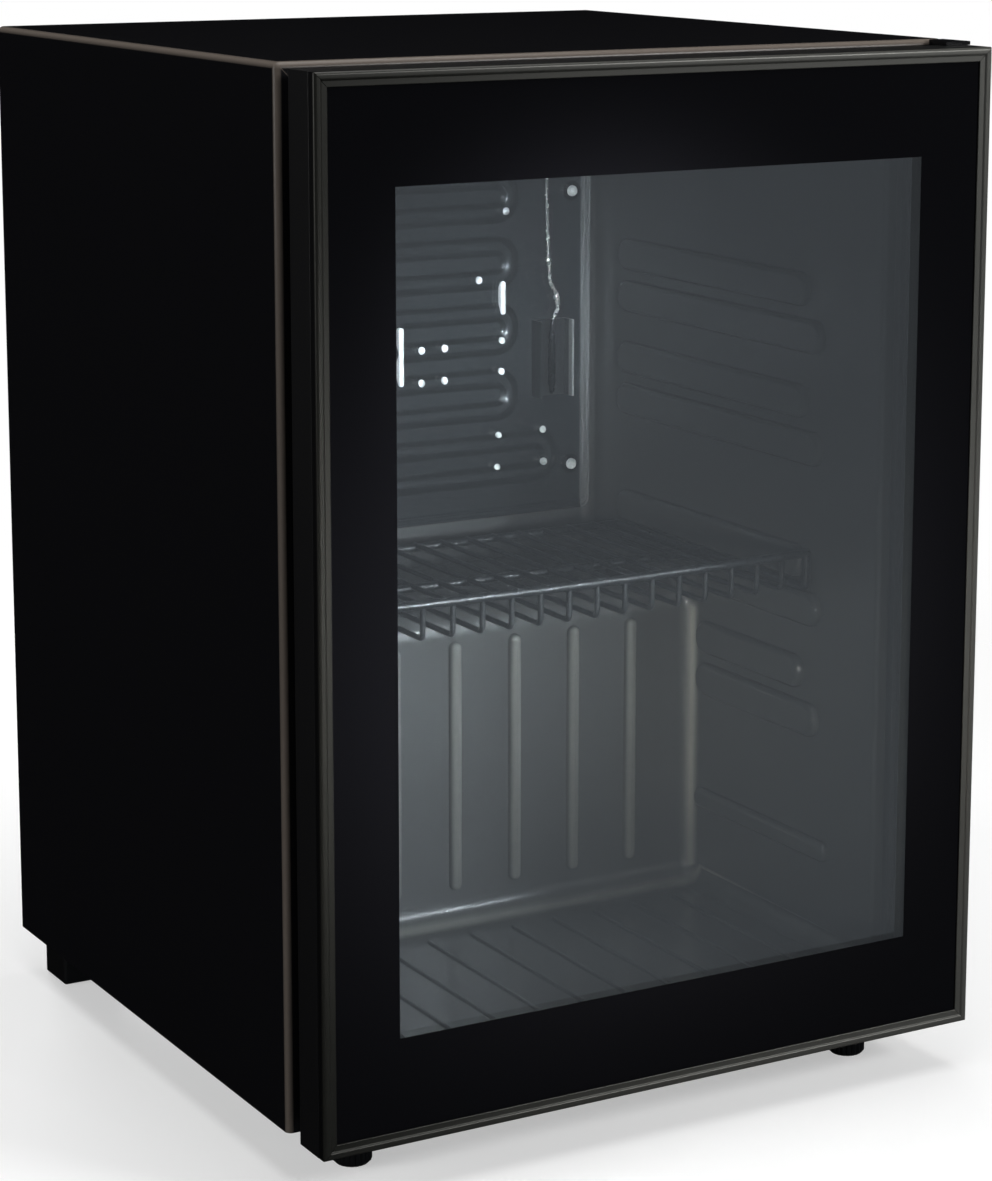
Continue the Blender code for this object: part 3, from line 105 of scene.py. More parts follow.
# Hot-dip zinc cools into flat crystals about 9 mm across, each a slightly different grey and sheen.
zinc, tree, shader = new_material("galvanised_steel", "#94979a", 0.42, Metallic=0.7)
place = add_node(tree, "TexCoord").outputs["Object"]
crystals = add_node(tree, "TexVoronoi", {"Scale": 1 / 0.009}, {"Vector": place})
grey = add_node(tree, "RGBToBW", links={"Color": crystals.outputs["Color"]}).outputs["Val"]
shade(tree, shader, grey, {0: "#7f8386", 1: "#a3a6a8"})
sheen = add_node(tree, "MapRange", {"To Min": 0.36, "To Max": 0.52}, {"Value": grey})
tree.links.new(sheen.outputs["Result"], shader.inputs["Roughness"])
dress(zinc, "rear_panel", "base_pan", "compressor_tray", "condenser_bracket_left", "condenser_bracket_right")


# Inner liner. One sheet of high-impact polystyrene, drawn hot over a mould, which rounds its corners and
# raises the shelf rails and the ribs on the floor and on the hump over the compressor. The foam holds it.


def mottle(tree, shader, size, low, high, lift):
    """Uneven skin: noise of one feature size moves the roughness from low to high and lifts the surface."""
    place = add_node(tree, "TexCoord").outputs["Object"]
    noise = add_node(tree, "TexNoise", {"Scale": 1 / size, "Detail": 3}, {"Vector": place}).outputs["Fac"]
    span = {"From Min": 0.3, "From Max": 0.7, "To Min": low, "To Max": high}
    spread = add_node(tree, "MapRange", span, {"Value": noise})
    bump = add_node(tree, "Bump", {"Distance": lift}, {"Height": noise})
    tree.links.new(spread.outputs["Result"], shader.inputs["Roughness"])
    tree.links.new(bump.outputs["Normal"], shader.inputs["Normal"])


def bent(corners, radii, steps=6, closed=False):
    """A line through corners. A corner of radius r is an arc about the point where its two sides, moved in by
    r, meet; the arc's points are the two tangent points turned into each other at an even rate."""
    corners = np.asarray(corners, float)
    share = np.linspace(0, 1, steps + 1)[:, None]
    line = []
    for index, (corner, radius) in enumerate(zip(corners, np.broadcast_to(radii, len(corners)))):
        if radius <= 0 or (not closed and index in (0, len(corners) - 1)):
            line.append(corner[None])
            continue
        sides = np.stack([corners[index - 1], corners[(index + 1) % len(corners)]]) - corner
        sides /= np.linalg.norm(sides, axis=1, keepdims=True)
        half = np.arccos(np.clip(sides[0] @ sides[1], -1, 1)) / 2
        middle = sides.sum(0)
        centre = corner + middle / np.linalg.norm(middle) * radius / np.sin(half)
        first, last = corner + sides * radius / np.tan(half) - centre
        turn = np.pi - 2 * half
        arc = np.sin((1 - share) * turn) * first + np.sin(share * turn) * last
        line.append(centre + arc / np.sin(turn))
    return np.concatenate(line)


def rounded_rectangle(half, corner, steps=5):
    """Points round a rectangle: a quarter circle about each corner moved in by the radius."""
    turn = (np.arange(4)[:, None] * np.pi / 2 + np.linspace(0, np.pi / 2, steps + 1)).ravel()
    quarter = np.repeat(np.array([(1, 1), (-1, 1), (-1, -1), (1, -1)]), steps + 1, 0)
    return quarter * (np.asarray(half) - corner) + corner * np.stack([np.cos(turn), np.sin(turn)], -1)


def pad(place, along, across, out, size, corner, rise, edge, sink=0.001):
    """A ridge with a flat top: a rounded rectangle carried out of a wall and drawn in at the end along a
    quarter circle, or a quarter ellipse where the edge is wider than the ridge is high."""
    turn = np.linspace(0, np.pi / 2, 8)
    inset = np.r_[0, edge * (1 - np.cos(turn))]
    height = np.r_[-sink, rise - min(edge, rise) * (1 - np.sin(turn))][:, None, None]
    half = np.array(size) / 2
    rows = np.stack([rounded_rectangle(half - step, max(corner - step, 1e-4)) for step in inset])
    along, across, out = np.array([along, across, out], float)
    return np.array(place) + rows[..., :1] * along + rows[..., 1:] * across + height * out, "tube"


def skin(name, material, sheets, sharp=40):
    """Joins grids of points into one mesh. A ring closes in both directions, a tube closes in its columns and
    has its two ends filled, and a tub has its two ends filled and stays open along its columns."""
    points, faces, count = [], [], 0
    for grid, kind in sheets:
        rows, columns = grid.shape[:2]
        number = np.arange(rows * columns).reshape(rows, columns) + count
        if kind in ("tube", "tub"):
            faces += [number[0].tolist(), number[-1, ::-1].tolist()]
        if kind in ("tube", "ring"):
            number = np.concatenate([number, number[:, :1]], 1)
        if kind == "ring":
            number = np.concatenate([number, number[:1]], 0)
        corners = [number[:-1, 1:], number[:-1, :-1], number[1:, :-1], number[1:, 1:]]
        faces += np.stack(corners, -1).reshape(-1, 4).tolist()
        points.append(grid.reshape(-1, 3))
        count += rows * columns
    mesh = bpy.data.meshes.new(name)
    mesh.from_pydata(np.concatenate(points).tolist(), [], faces)
    shape = bmesh.new()
    shape.from_mesh(mesh)
    bmesh.ops.recalc_face_normals(shape, faces=shape.faces)
    shape.to_mesh(mesh)
    shape.free()
    mesh.shade_smooth()
    mesh.set_sharp_from_angle(angle=math.radians(sharp))
    mesh.materials.append(material)
    made = bpy.data.objects.new(name, mesh)
    bpy.context.collection.objects.link(made)
    return made


def mark(piece, name, share):
    """Keeps a share for each point of a piece, which its material reads by name."""
    piece.data.attributes.new(name, "FLOAT", "POINT").data.foreach_set("value", np.ravel(share))


def fix(piece, slot, *nodes, body="cabinet"):
    """Fixes a piece to its body in place of CAD nodes; its broad faces stay flat next to small rounds."""
    piece.modifiers.new("flat_faces", "WEIGHTED_NORMAL").keep_sharp = True
    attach(piece, body)
    if nodes:
        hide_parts(*nodes)


right, back, up = np.eye(3)
cabinet_front = -0.164
room_half, room_floor, room_top, room_back = 0.164, 0.052, 0.536, 0.145
hump_face, hump_top = 0.023, 0.24
lip = 0.003


def room_side(drawn):
    """The room's side view drawn in by a length: floor, hump face, hump top, back wall and ceiling with an
    arc between them, which tightens in a hollow corner and widens on the hump's brow."""
    low, high, rear = room_floor + drawn, room_top - drawn, room_back - drawn
    face, step = hump_face - drawn, hump_top + drawn
    start = cabinet_front + lip
    corners = [(start, low), (face, low), (face, step), (rear, step), (rear, high), (start, high)]
    cove = 0.014 - drawn
    return bent(corners, [0, cove, 0.016 + drawn, cove, cove, 0], 9)


side_cove = 0.01
turn = np.linspace(0, np.pi / 2, 10)
flat = np.linspace(-0.14, 0.14, 15)
reach = room_half - side_cove + side_cove * np.sin(turn)
reach = np.r_[-reach[::-1], flat, reach]
drawn = side_cove * (1 - np.cos(turn))
drawn = np.r_[drawn[::-1], 0 * flat, drawn]
sides = np.stack([room_side(step) for step in drawn])
tub = np.concatenate([np.broadcast_to(reach[:, None, None], (*sides.shape[:2], 1)), sides], -1)

# The flange is a ring of rounded rectangles: it curls out of the tub's mouth on a quarter circle, runs flat
# to its outer edge and returns behind.
mouth = np.array([room_half, (room_top - room_floor) / 2])
middle = (room_top + room_floor) / 2
outer_half, outer_corner, outer_middle = np.array([0.1927, 0.2647]), 0.002, 0.301
flange_thick = 0.002
curl, sink = lip * (1 - np.cos(turn)), lip * (1 - np.sin(turn))
rows = [(mouth + step, side_cove + step, middle, depth) for step, depth in zip(curl, sink)]
rows += [(outer_half, outer_corner, outer_middle, depth) for depth in (0, flange_thick)]
rows += [(mouth + lip, side_cove + lip, middle, flange_thick), (mouth, side_cove, middle, lip)]
flange = np.stack([rounded_rectangle(half, corner) + (0, level) for half, corner, level, _ in rows])
depth = np.array([depth for *_, depth in rows])[:, None, None] + cabinet_front
depth = np.broadcast_to(depth, (*flange.shape[:2], 1))
flange = np.concatenate([flange[..., :1], depth, flange[..., 1:]], -1)

# A shelf slot lies between a lower and an upper rail, which end at the hump's face or at the back wall.
at_hump, at_back = 0.013, 0.105
rails = [(-0.123, at_hump, 0.102, 0.114), (0, at_back, 0.25, 0.2577)]
slots = [(0.1955, at_hump, at_hump), (0.2605, at_hump, at_back)]
slots += [(0.3535, at_back, at_back), (0.4175, at_back, at_back)]
for slot, lower_end, upper_end in slots:
    rails.append((-0.111, lower_end, slot - 0.0228, slot - 0.0028))
    rails.append((-0.0955, upper_end, slot + 0.0031, slot + 0.0231))
ridges, ribs = [], []
for side in (-1, 1):
    for start, end, low, high in rails:
        middle = (side * room_half, (start + end) / 2, (low + high) / 2)
        size = (end - start, high - low)
        ridges.append(pad(middle, back, up, -side * right, size, 0.45 * size[1], 0.005, 0.0034))
hump_pitch, floor_pitch = 0.04, 0.028
for across in np.arange(-3, 4) * hump_pitch:
    place = (across, hump_face, 0.1465)
    ribs.append(pad(place, up, right, -back, (0.151, 0.0085), 0.0042, 0.0036, 0.0042))
for across in np.arange(-5, 6) * floor_pitch:
    place = (across, -0.0705, room_floor)
    ridges.append(pad(place, back, right, up, (0.143, 0.01), 0.0048, 0.0015, 0.0014))

# Moulded polystyrene has a soft gloss over a faint orange peel about 3 mm across, left by the hot sheet.
# A paler colour is painted in as highlight along the hump's coves, as a bell curve over the angle, and on the
# crests of its ribs.
polystyrene, tree, shader = new_material("moulded_polystyrene", "#484847", 0.24, Specular_IOR_Level=0.9)
mottle(tree, shader, 0.003, 0.21, 0.27, 0.000006)
shade(tree, shader, "painted_highlight", {0: "#484847", 1: "#b4b1a8"})
# In the side view points 1 to 10 are the floor's cove, and 8 to 11 run from its end up the hump's face.
angle = np.degrees(turn)
along_floor, up_face = np.zeros((2, sides.shape[1]))
along_floor[1:11] = np.exp(-(((angle - 26) / 16) ** 2))
up_face[8:12] = 0.75
upright = np.exp(-(((angle - 55) / 17) ** 2))
upright = np.r_[upright[::-1], 0 * flat, upright][:, None]
painted_highlight = np.maximum(along_floor * (0.55 + 0.45 * (reach[:, None] / room_half) ** 2), up_face * upright)
rib_highlight = hump_face - np.concatenate([grid.reshape(-1, 3) for grid, _ in ribs])[:, 1]
rib_highlight = 0.25 * np.clip((rib_highlight - 0.0014) / 0.0018, 0, 1)

liner_tub = skin("liner_tub", polystyrene, [(tub, "tub")])
mark(liner_tub, "painted_highlight", painted_highlight)
wall = liner_tub.modifiers.new("wall", "SOLIDIFY")
wall.thickness = 0.0019
wall.offset = 1
fix(liner_tub, "liner_plastic", "inner_liner")
fix(skin("liner_flange", polystyrene, [(flange, "ring")]), "liner_plastic")
fix(skin("liner_ridges", polystyrene, ridges), "liner_plastic")
hump_ribs = skin("hump_ribs", polystyrene, ribs)
mark(hump_ribs, "painted_highlight", rib_highlight)
fix(hump_ribs, "liner_plastic")


# Insulation. Polyurethane foam is poured between wrap and liner, where it swells, sets and bonds the two
# together. It is out of sight, so the CAD solid keeps its shape and takes the look of fine closed cells.
foam, tree, shader = new_material("polyurethane_foam", "#d6c48c", 0.9)
place = add_node(tree, "TexCoord").outputs["Object"]
cells = add_node(tree, "TexVoronoi", {"Scale": 1 / 0.0012}, {"Vector": place}).outputs["Distance"]
bump = add_node(tree, "Bump", {"Distance": 0.0004}, {"Height": cells})
tree.links.new(bump.outputs["Normal"], shader.inputs["Normal"])
dress(foam, "insulation_foam")


# Cabinet wrap. One steel sheet, painted black, is folded over both sides and the top; its front edge is
# rolled round and returned inward, where it frames the door opening. The foam bonds it to everything behind.
wrap_half, wrap_top, wrap_foot, wrap_back = 0.201, 0.574, 0.028, 0.206
fold, sheet, hem = 0.0035, 0.001, 0.008
turn = np.linspace(0, np.pi / 2, 11)
inner = fold - sheet
inset = np.r_[0, fold - fold * np.cos(turn), hem, hem, fold - inner * np.cos(turn[::-1]), sheet]
run = np.r_[wrap_back, cabinet_front + fold - fold * np.sin(turn), cabinet_front, cabinet_front + sheet]
run = np.r_[run, cabinet_front + fold - inner * np.sin(turn[::-1]), wrap_back]


def arch(inset, run):
    """A profile of (inset, run) carried up the left side, over the top and down the right; at the two top
    corners it turns on a quarter circle, which is the fold's radius less the inset."""
    radius = np.maximum(fold - inset, 2e-4)
    angle = np.r_[np.linspace(np.pi, np.pi / 2, 9), np.linspace(np.pi / 2, 0, 9)][:, None]
    side = np.repeat([-1, 1], 9)[:, None]
    across = side * (wrap_half - inset - radius) + radius * np.cos(angle)
    level = wrap_top - inset - radius + radius * np.sin(angle)
    across = np.pad(across, ((1, 1), (0, 0)), "edge")
    level = np.pad(level, ((1, 1), (0, 0)), constant_values=wrap_foot)
    return np.stack([across, np.broadcast_to(run, across.shape), level], -1)


# Stoved black paint: deep black, a low sheen and an orange peel about 1.5 mm across. On the wrap a warm grey
# highlight is painted over the folds, in a smooth rise and fall across each.
black_paint, tree, shader = new_material("stoved_black_paint", "#0d0d0f", 0.24, Specular_IOR_Level=0.1)
mottle(tree, shader, 0.0015, 0.21, 0.27, 0.000004)
shade(tree, shader, "fold", {0: "#0d0d0f", 1: "#58514b"})

folded_wrap = skin("folded_wrap", black_paint, [(arch(inset, run), "tube")])
# The painted highlight's share: a smooth rise and fall across the front fold and across the two top folds.
rise = np.sin(2 * turn) ** 0.6
highlight_over_front = np.r_[0, rise, np.zeros(len(turn) + 3)]
rise = np.sin(np.linspace(0, np.pi, 9)) ** 0.6
highlight_over_corner = np.r_[0, rise, rise, 0]
mark(folded_wrap, "fold", np.maximum(highlight_over_front[None], highlight_over_corner[:, None]))
fix(folded_wrap, "black_painted_steel", "cabinet_wrap")


# Evaporator. Two aluminium sheets are rolled together, and a printed track between them is blown up into the
# channel for the refrigerant. It is lacquered dark grey and screwed over four posts on the upper back wall.


def serpentine(ends, levels):
    """Corners of a line to and fro: at each level it runs from end to end, at the first one to the right."""
    start = np.where(np.arange(len(levels)) % 2, 1, -1) * ends
    return np.stack([np.stack([start, levels], -1), np.stack([-start, levels], -1)], 1).reshape(-1, 2)


plate_half, plate_low, plate_high, plate_corner = 0.159, 0.266, 0.486, 0.006
plate_face, plate_back = 0.136, 0.1376
channel_high, channel_half, bead = 0.0026, 0.0056, 0.001
pitch = 0.0205
passes = np.arange(10)
track = serpentine(np.where(passes < 2, 0.129, 0.101), 0.292 + pitch * passes)
# The third pass starts above the end of the second, which is longer.
track[4, 0] = track[3, 0]
track = bent(track, pitch / 2 - 0.001, 8)

near = np.linspace(0, plate_corner, 25)
wide, tall = 2 * plate_half, plate_high - plate_low
across = np.r_[near, np.linspace(0.0075, wide - 0.0075, 202), wide - near[::-1]] / plate_half - 1
height = plate_low + np.r_[near, np.linspace(0.0072, tall - 0.0072, 187), tall - near[::-1]][:, None]
past_side = np.clip(np.abs(height - plate_low - tall / 2) - tall / 2 + plate_corner, 0, plate_corner)
across = across * (plate_half - plate_corner + np.sqrt(plate_corner**2 - past_side**2))
height = np.broadcast_to(height, across.shape)


def away_from(line):
    """How far each point of the plate is from a line: the least distance to any of its straight steps."""
    nearest = np.full(across.shape, np.inf)
    for (start_x, start_z), (end_x, end_z) in zip(line[:-1], line[1:]):
        step_x, step_z = end_x - start_x, end_z - start_z
        length = step_x**2 + step_z**2
        if length > 0:
            share = np.clip(((across - start_x) * step_x + (height - start_z) * step_z) / length, 0, 1)
            gap = np.hypot(across - start_x - share * step_x, height - start_z - share * step_z)
            nearest = np.minimum(nearest, gap)
    return nearest


# The channel is a round ridge, (1 - (distance / half width)^2)^1.5 high, with a seam along its foot painted
# dark as shade. The plate ends all round in two small rolled beads, half circles at set distances from its
# edge, a rounded rectangle; at both sides they are worn towards the bare metal, and that paler colour also
# stands in for their highlight.
away = away_from(track)
ridge = channel_high * np.clip(1 - (away / channel_half) ** 2, 0, 1) ** 1.5
past_end = np.abs(across) - plate_half + plate_corner
past_side = np.abs(height - plate_low - tall / 2) - tall / 2 + plate_corner
past = np.hypot(np.maximum(past_end, 0), np.maximum(past_side, 0))
past += np.minimum(np.maximum(past_end, past_side), 0)
edge = (plate_corner - past) / bead
ridge += bead * np.sqrt(np.clip(1 - np.minimum(np.abs(edge - 1), np.abs(edge - 4.6)) ** 2, 0, 1))
seam_shade = np.exp(-(((away - 0.0047) / 0.0012) ** 2))
worn_and_highlight = np.clip(7 - (plate_half - np.abs(across)) / bead, 0, 1)
bare_and_seam_shade = 0.2 - 0.2 * seam_shade + 0.3 * worn_and_highlight
face = np.stack([across, plate_face - ridge, height], -1)
behind = np.stack([across, np.full(across.shape, plate_back), height], -1)[:, ::-1]
plate = np.concatenate([face, behind[:, [0, -1]]], 1)
bare_and_seam_shade = np.concatenate([bare_and_seam_shade, np.ones((len(bare_and_seam_shade), 2))], 1)

# Lacquer over rolled aluminium: dark, with a metallic sheen and fine rolling lines about 0.8 mm apart.
lacquer, tree, shader = new_material("lacquered_aluminium", "#333537", 0.2, Metallic=0.6)
place = add_node(tree, "TexCoord").outputs["Object"]
lines = add_node(tree, "Mapping", {"Scale": (40, 1, 1 / 0.0008)}, {"Vector": place}).outputs["Vector"]
noise = add_node(tree, "TexNoise", {"Scale": 1, "Detail": 2}, {"Vector": lines}).outputs["Fac"]
spread = add_node(tree, "MapRange", {"To Min": 0.15, "To Max": 0.25}, {"Value": noise})
bump = add_node(tree, "Bump", {"Distance": 0.00001}, {"Height": noise})
tree.links.new(spread.outputs["Result"], shader.inputs["Roughness"])
tree.links.new(bump.outputs["Normal"], shader.inputs["Normal"])
# 0 is the painted shade along the channel's foot, 0.2 the lacquer and 1 the bare metal.
shade(tree, shader, "bare_and_seam_shade", {0: "#0a0a0b", 0.2: "#333537", 1: "#e6e6e4"})

roll_bond_plate = skin("roll_bond_plate", lacquer, [(plate, "tube")])
mark(roll_bond_plate, "bare_and_seam_shade", bare_and_seam_shade)
fix(roll_bond_plate, "evaporator_aluminium", "evaporator_plate")


# Evaporator bosses, screws and posts. The plate's two sheets are pinned between the passes of the channel, by
# pressed domes and short bars. Turned screws with washers pass through the plate into moulded posts, which
# keep it off the back wall.


def turned(profile, place, axis, sides=48, stretch=(1, 1), kind="tube"):
    """A profile of (radius, height) turned about the y or z axis; stretch makes its circles ellipses."""
    radius, level = np.asarray(profile, float).T[..., None]
    turn = np.linspace(0, 2 * np.pi, sides, endpoint=False)
    across, along = radius * np.cos(turn) * stretch[0], radius * np.sin(turn) * stretch[1]
    level = np.broadcast_to(level, across.shape)
    order = {"y": (across, level, along), "z": (across, along, level)}[axis]
    return np.array(place) + np.stack(order, -1), kind


# Bright zinc over steel, dulled a little by turning marks, drawn as a grain 0.5 mm across.
bright_zinc, tree, shader = new_material("zinc_plated_steel", "#f4f4f2", 0.34, Metallic=0.15)
mottle(tree, shader, 0.0005, 0.3, 0.38, 0.00001)
# Moulded ABS in white: an even satin with a spark grain about 0.8 mm across.
white_abs, tree, shader = new_material("white_abs", "#d2d2cd", 0.45)
mottle(tree, shader, 0.0008, 0.4, 0.5, 0.00002)
# Pressed aluminium with a fine drag grain about 0.4 mm across; the domes catch the lamps, and their
# near-white colour adds a painted glint.
glint_white_metal, tree, shader = new_material("aluminium_painted_glint", "#f6f6f4", 0.4, Metallic=0.15)
mottle(tree, shader, 0.0004, 0.36, 0.44, 0.000004)

spots = [(0.0973, 0.457), (0.0782, 0.4155), (0.0949, 0.3767), (0.0949, 0.3573)]
spots += [(0.0383, 0.3749), (0.0543, 0.3751), (0.0382, 0.3547), (0.0542, 0.3551)]
spots += [(0.0932, 0.3172), (0.1252, 0.3183), (0.0924, 0.2972), (0.1252, 0.2982)]
swell = np.linspace(np.radians(60), 0.03, 9)
ball = 0.00266
cap = np.stack([ball * np.sin(swell), ball / 2 - ball * np.cos(swell)], -1)
dome = np.concatenate([[(0.0023, 0.002)], cap])
pins = []
for side in (-1, 1):
    for across_at, level_at in spots:
        row = np.abs(height[:, 0] - level_at).argmin()
        top = plate_face - ridge[row, np.abs(across[row] - side * across_at).argmin()]
        pins.append(turned(dome, (side * across_at, top, level_at), "y", 32))
    for across_at, level_at, length in ((0.0951, 0.4035, 0.0205), (0.024, 0.3718, 0.036)):
        middle = (side * across_at, plate_face - channel_high, level_at)
        size = (length, 0.0036)
        pins.append(pad(middle, up, right, -back, size, 0.0017, 0.0014, 0.0017, channel_high))
fix(skin("plate_pins", glint_white_metal, pins), "evaporator_aluminium")

seat_gap = 0.0003
seat, post_start, post_end = plate_face - seat_gap, plate_back + seat_gap, room_back - seat_gap
crown = np.linspace(0, np.pi / 2, 7)
head = np.stack([0.0034 * np.sin(crown), seat - 0.001 - 0.003 * np.cos(crown) ** 0.8], -1)
head[0, 0] = 0.0001
bolt = np.concatenate([head, [(0.0022, seat - 0.001), (0.0022, post_end)]])
washer = [(0.0023, seat), (0.0023, seat - 0.0009), (0.0062, seat - 0.0009), (0.0062, seat)]
washer = bent(washer, [0, 0, 0.0004, 0], 3, closed=True)
sleeve = [(0.005, post_start), (0.005, post_end), (0.0026, post_end), (0.0026, post_start)]
washers = []
for side, across_at in (("left", -0.145), ("right", 0.145)):
    for end, level_at in (("low", 0.295), ("high", 0.467)):
        place = (across_at, 0, level_at)
        washers.append(turned(washer, place, "y", kind="ring"))
        screw = skin(f"plate_screw_{side}_{end}", bright_zinc, [turned(bolt, place, "y")])
        fix(screw, "screw_steel", f"evaporator_screw_{side}_{end}")
        post = skin(f"plate_post_{side}_{end}", white_abs, [turned(sleeve, place, "y", kind="ring")])
        fix(post, "white_plastic", f"evaporator_post_{side}_{end}")
fix(skin("plate_washers", lacquer, washers), "screw_steel")


# Thermostat. A moulded box hangs under the ceiling with a knob at its front. Its copper sensing tube drops to
# the plate, where a U-shaped clip presses the thicker bulb at its end to the metal.


def tube(path, radius, away, sides=14):
    """A round tube: circles square to a path, each begun in the direction square to both path and away."""
    path = np.asarray(path, float)
    tangent = np.gradient(path, axis=0)
    tangent /= np.linalg.norm(tangent, axis=1, keepdims=True)
    side = np.cross(tangent, away)
    side /= np.linalg.norm(side, axis=1, keepdims=True)
    over = np.cross(side, tangent)
    turn = np.linspace(0, 2 * np.pi, sides, endpoint=False)[:, None]
    radius = np.broadcast_to(radius, len(path))[:, None, None]
    return path[:, None] + radius * (np.cos(turn) * side[:, None] + np.sin(turn) * over[:, None]), "tube"


# Black ABS: satin, with a spark grain about 0.8 mm across. The door frame's lip is extruded with it in the
# liner's dark grey.
black_abs, tree, shader = new_material("black_abs", "#0d0d0e", 0.36, Specular_IOR_Level=0.2)
mottle(tree, shader, 0.0008, 0.32, 0.4, 0.00001)
shade(tree, shader, "lip", {0: "#0d0d0e", 1: "#626260"})
# Drawn copper, browned by handling: the tone drifts over about 15 mm.
copper, tree, shader = new_material("drawn_copper", "#b87a57", 0.3, Metallic=1)
mottle(tree, shader, 0.004, 0.24, 0.4, 0.00001)
place = add_node(tree, "TexCoord").outputs["Object"]
drift = add_node(tree, "TexNoise", {"Scale": 1 / 0.015}, {"Vector": place}).outputs["Fac"]
shade(tree, shader, drift, {0: "#8f5a3e", 1: "#cf906a"})

box_at = (0.119, 0.0825, room_top - seat_gap)
box = pad(box_at, right, back, -up, (0.062, 0.083), 0.005, 0.04, 0.004, 0)
fix(skin("control_box", black_abs, [box]), "black_plastic", "thermostat_box")

knob_at = np.array([0.119, 0.0407, 0.5157])
disc = bent([(0.013, 0), (0.013, -0.0062), (0.0118, -0.008), (0.0001, -0.008)], [0, 0.0015, 0.001, 0], 5)
grip = pad(knob_at - 0.0075 * back, up, right, -back, (0.0221, 0.0035), 0.0016, 0.0065, 0.0014)
knob = skin("control_knob", white_abs, [turned(disc, knob_at, "y", 64), grip])
fix(knob, "white_plastic", "thermostat_knob", body="knob")

corners = [(0.129, 0.1315, 0.3415), (0.129, 0.1315, 0.3856), (0.1333, 0.1315, 0.3952)]
corners += [(0.1316, 0.1315, 0.4048), (0.1273, 0.1315, 0.412), (0.1264, 0.1315, 0.4264)]
corners += [(0.1247, 0.1315, 0.4714), (0.1247, 0.13, 0.4834), (0.1247, 0.1215, 0.4906)]
corners.append((0.1247, 0.1195, 0.4954))
route = bent(corners, 0.004, 5)
length = np.r_[0, np.linalg.norm(np.diff(route, axis=0), axis=1).cumsum()]
even = np.linspace(0, length[-1], 241)
route = np.stack([np.interp(even, length, values) for values in route.T], -1)
level = route[:, 2]
swell = 0.001 * np.exp(-(((level - 0.4255) / 0.002) ** 2))
swell += 0.0008 * np.exp(-(((level - 0.4005) / 0.005) ** 2))
bulb = 0.0024 * np.sqrt(np.clip(1 - np.abs((level - 0.3615) / 0.0205) ** 6, 0, 1))
thick = np.maximum(0.0011 + swell, bulb)

# Tinned copper: a soft silver over the copper, with the tin's own ripple about 3 mm long. A black sleeve is
# shrunk over the bulb.
tinned, tree, shader = new_material("tinned_copper", "#e6e4de", 0.25, Metallic=0.85)
mottle(tree, shader, 0.003, 0.18, 0.32, 0.00004)
place = add_node(tree, "TexCoord").outputs["Object"]
level = add_node(tree, "SeparateXYZ", links={"Vector": place}).outputs["Z"]
sleeve_end = {"From Min": 0.388, "From Max": 0.3884}
open_metal = add_node(tree, "MapRange", sleeve_end, {"Value": level}).outputs["Result"]
shade(tree, shader, open_metal, {0: "#141516", 1: "#e6e4de"})
fix(skin("sensing_tube", tinned, [tube(route, thick, (0.4, 1, 0))]), "copper", "thermostat_sensing_tube")

# Moulded smoke-grey ABS: satin, with a spark grain about 0.8 mm across; its thin edge on the right is painted
# pale as a highlight.
grey_abs, tree, shader = new_material("smoke_grey_abs", "#151617", 0.35)
mottle(tree, shader, 0.0008, 0.3, 0.4, 0.00002)
place = add_node(tree, "TexCoord").outputs["Object"]
place = add_node(tree, "SeparateXYZ", links={"Vector": place}).outputs
edge = {"From Min": plate_face - 0.0068, "From Max": plate_face - 0.008}
edge = add_node(tree, "MapRange", edge, {"Value": place["Y"]}).outputs["Result"]
edge_highlight = {"Value": place["X"], "To Max": edge}
edge_highlight = add_node(tree, "MapRange", {"From Min": 0.1392, "From Max": 0.1396}, edge_highlight).outputs["Result"]
shade(tree, shader, edge_highlight, {0: "#151617", 1: "#8a8a88"})
dress(grey_abs, "bulb_clip")


# Wire shelf. Seventeen steel wires run from back to front and turn up to a bowed front rod; two thicker side
# rods slide between the liner's rails, and two cross rods are welded underneath. Epoxy powder coats it.
shelf_level, shelf_half, shelf_back, fence_top = 0.2605, 0.1609, 0.106, 0.2805


def shelf_front(across):
    """The fence's place: a parabola 6 mm further out at the middle than at the sides."""
    return -0.1 - 0.006 * (1 - (across / shelf_half) ** 2)


pitch, wire, rod = 0.0179, 0.0016, 0.0025
wires = []
for across_at in [*(np.arange(-8, 9) * pitch), -shelf_half, shelf_half]:
    is_side = abs(across_at) == shelf_half
    level_at = shelf_level if is_side else shelf_level + 0.0012
    front_at = shelf_front(across_at)
    corners = [(shelf_back, level_at), (front_at, level_at), (front_at, fence_top)]
    corners = [(across_at, *corner) for corner in corners]
    wires.append(tube(bent(corners, 0.003, 7), rod if is_side else wire, right, 12))
sweep = np.linspace(-shelf_half - 0.0015, shelf_half + 0.0015, 61)
bow = np.stack([sweep, shelf_front(np.clip(sweep, -shelf_half, shelf_half)), np.full(61, fence_top)], -1)
rounded = np.r_[0.0019, 0.0024, np.full(57, rod), 0.0024, 0.0019]
wires.append(tube(bow, rounded, up, 16))
for along_at in (0.008, 0.1035):
    ends = [(-shelf_half, along_at, shelf_level), (shelf_half, along_at, shelf_level)]
    wires.append(tube(ends, rod, up, 16))

# Powder coat on wire: dark grey with a soft gloss and a pebbled skin about 1.2 mm across.
powder, tree, shader = new_material("powder_coated_wire", "#1a1b1c", 0.3, Specular_IOR_Level=1)
mottle(tree, shader, 0.0012, 0.26, 0.34, 0.000005)

fix(skin("shelf_wires", powder, wires), "shelf_wire", "wire_shelf", body="shelf")


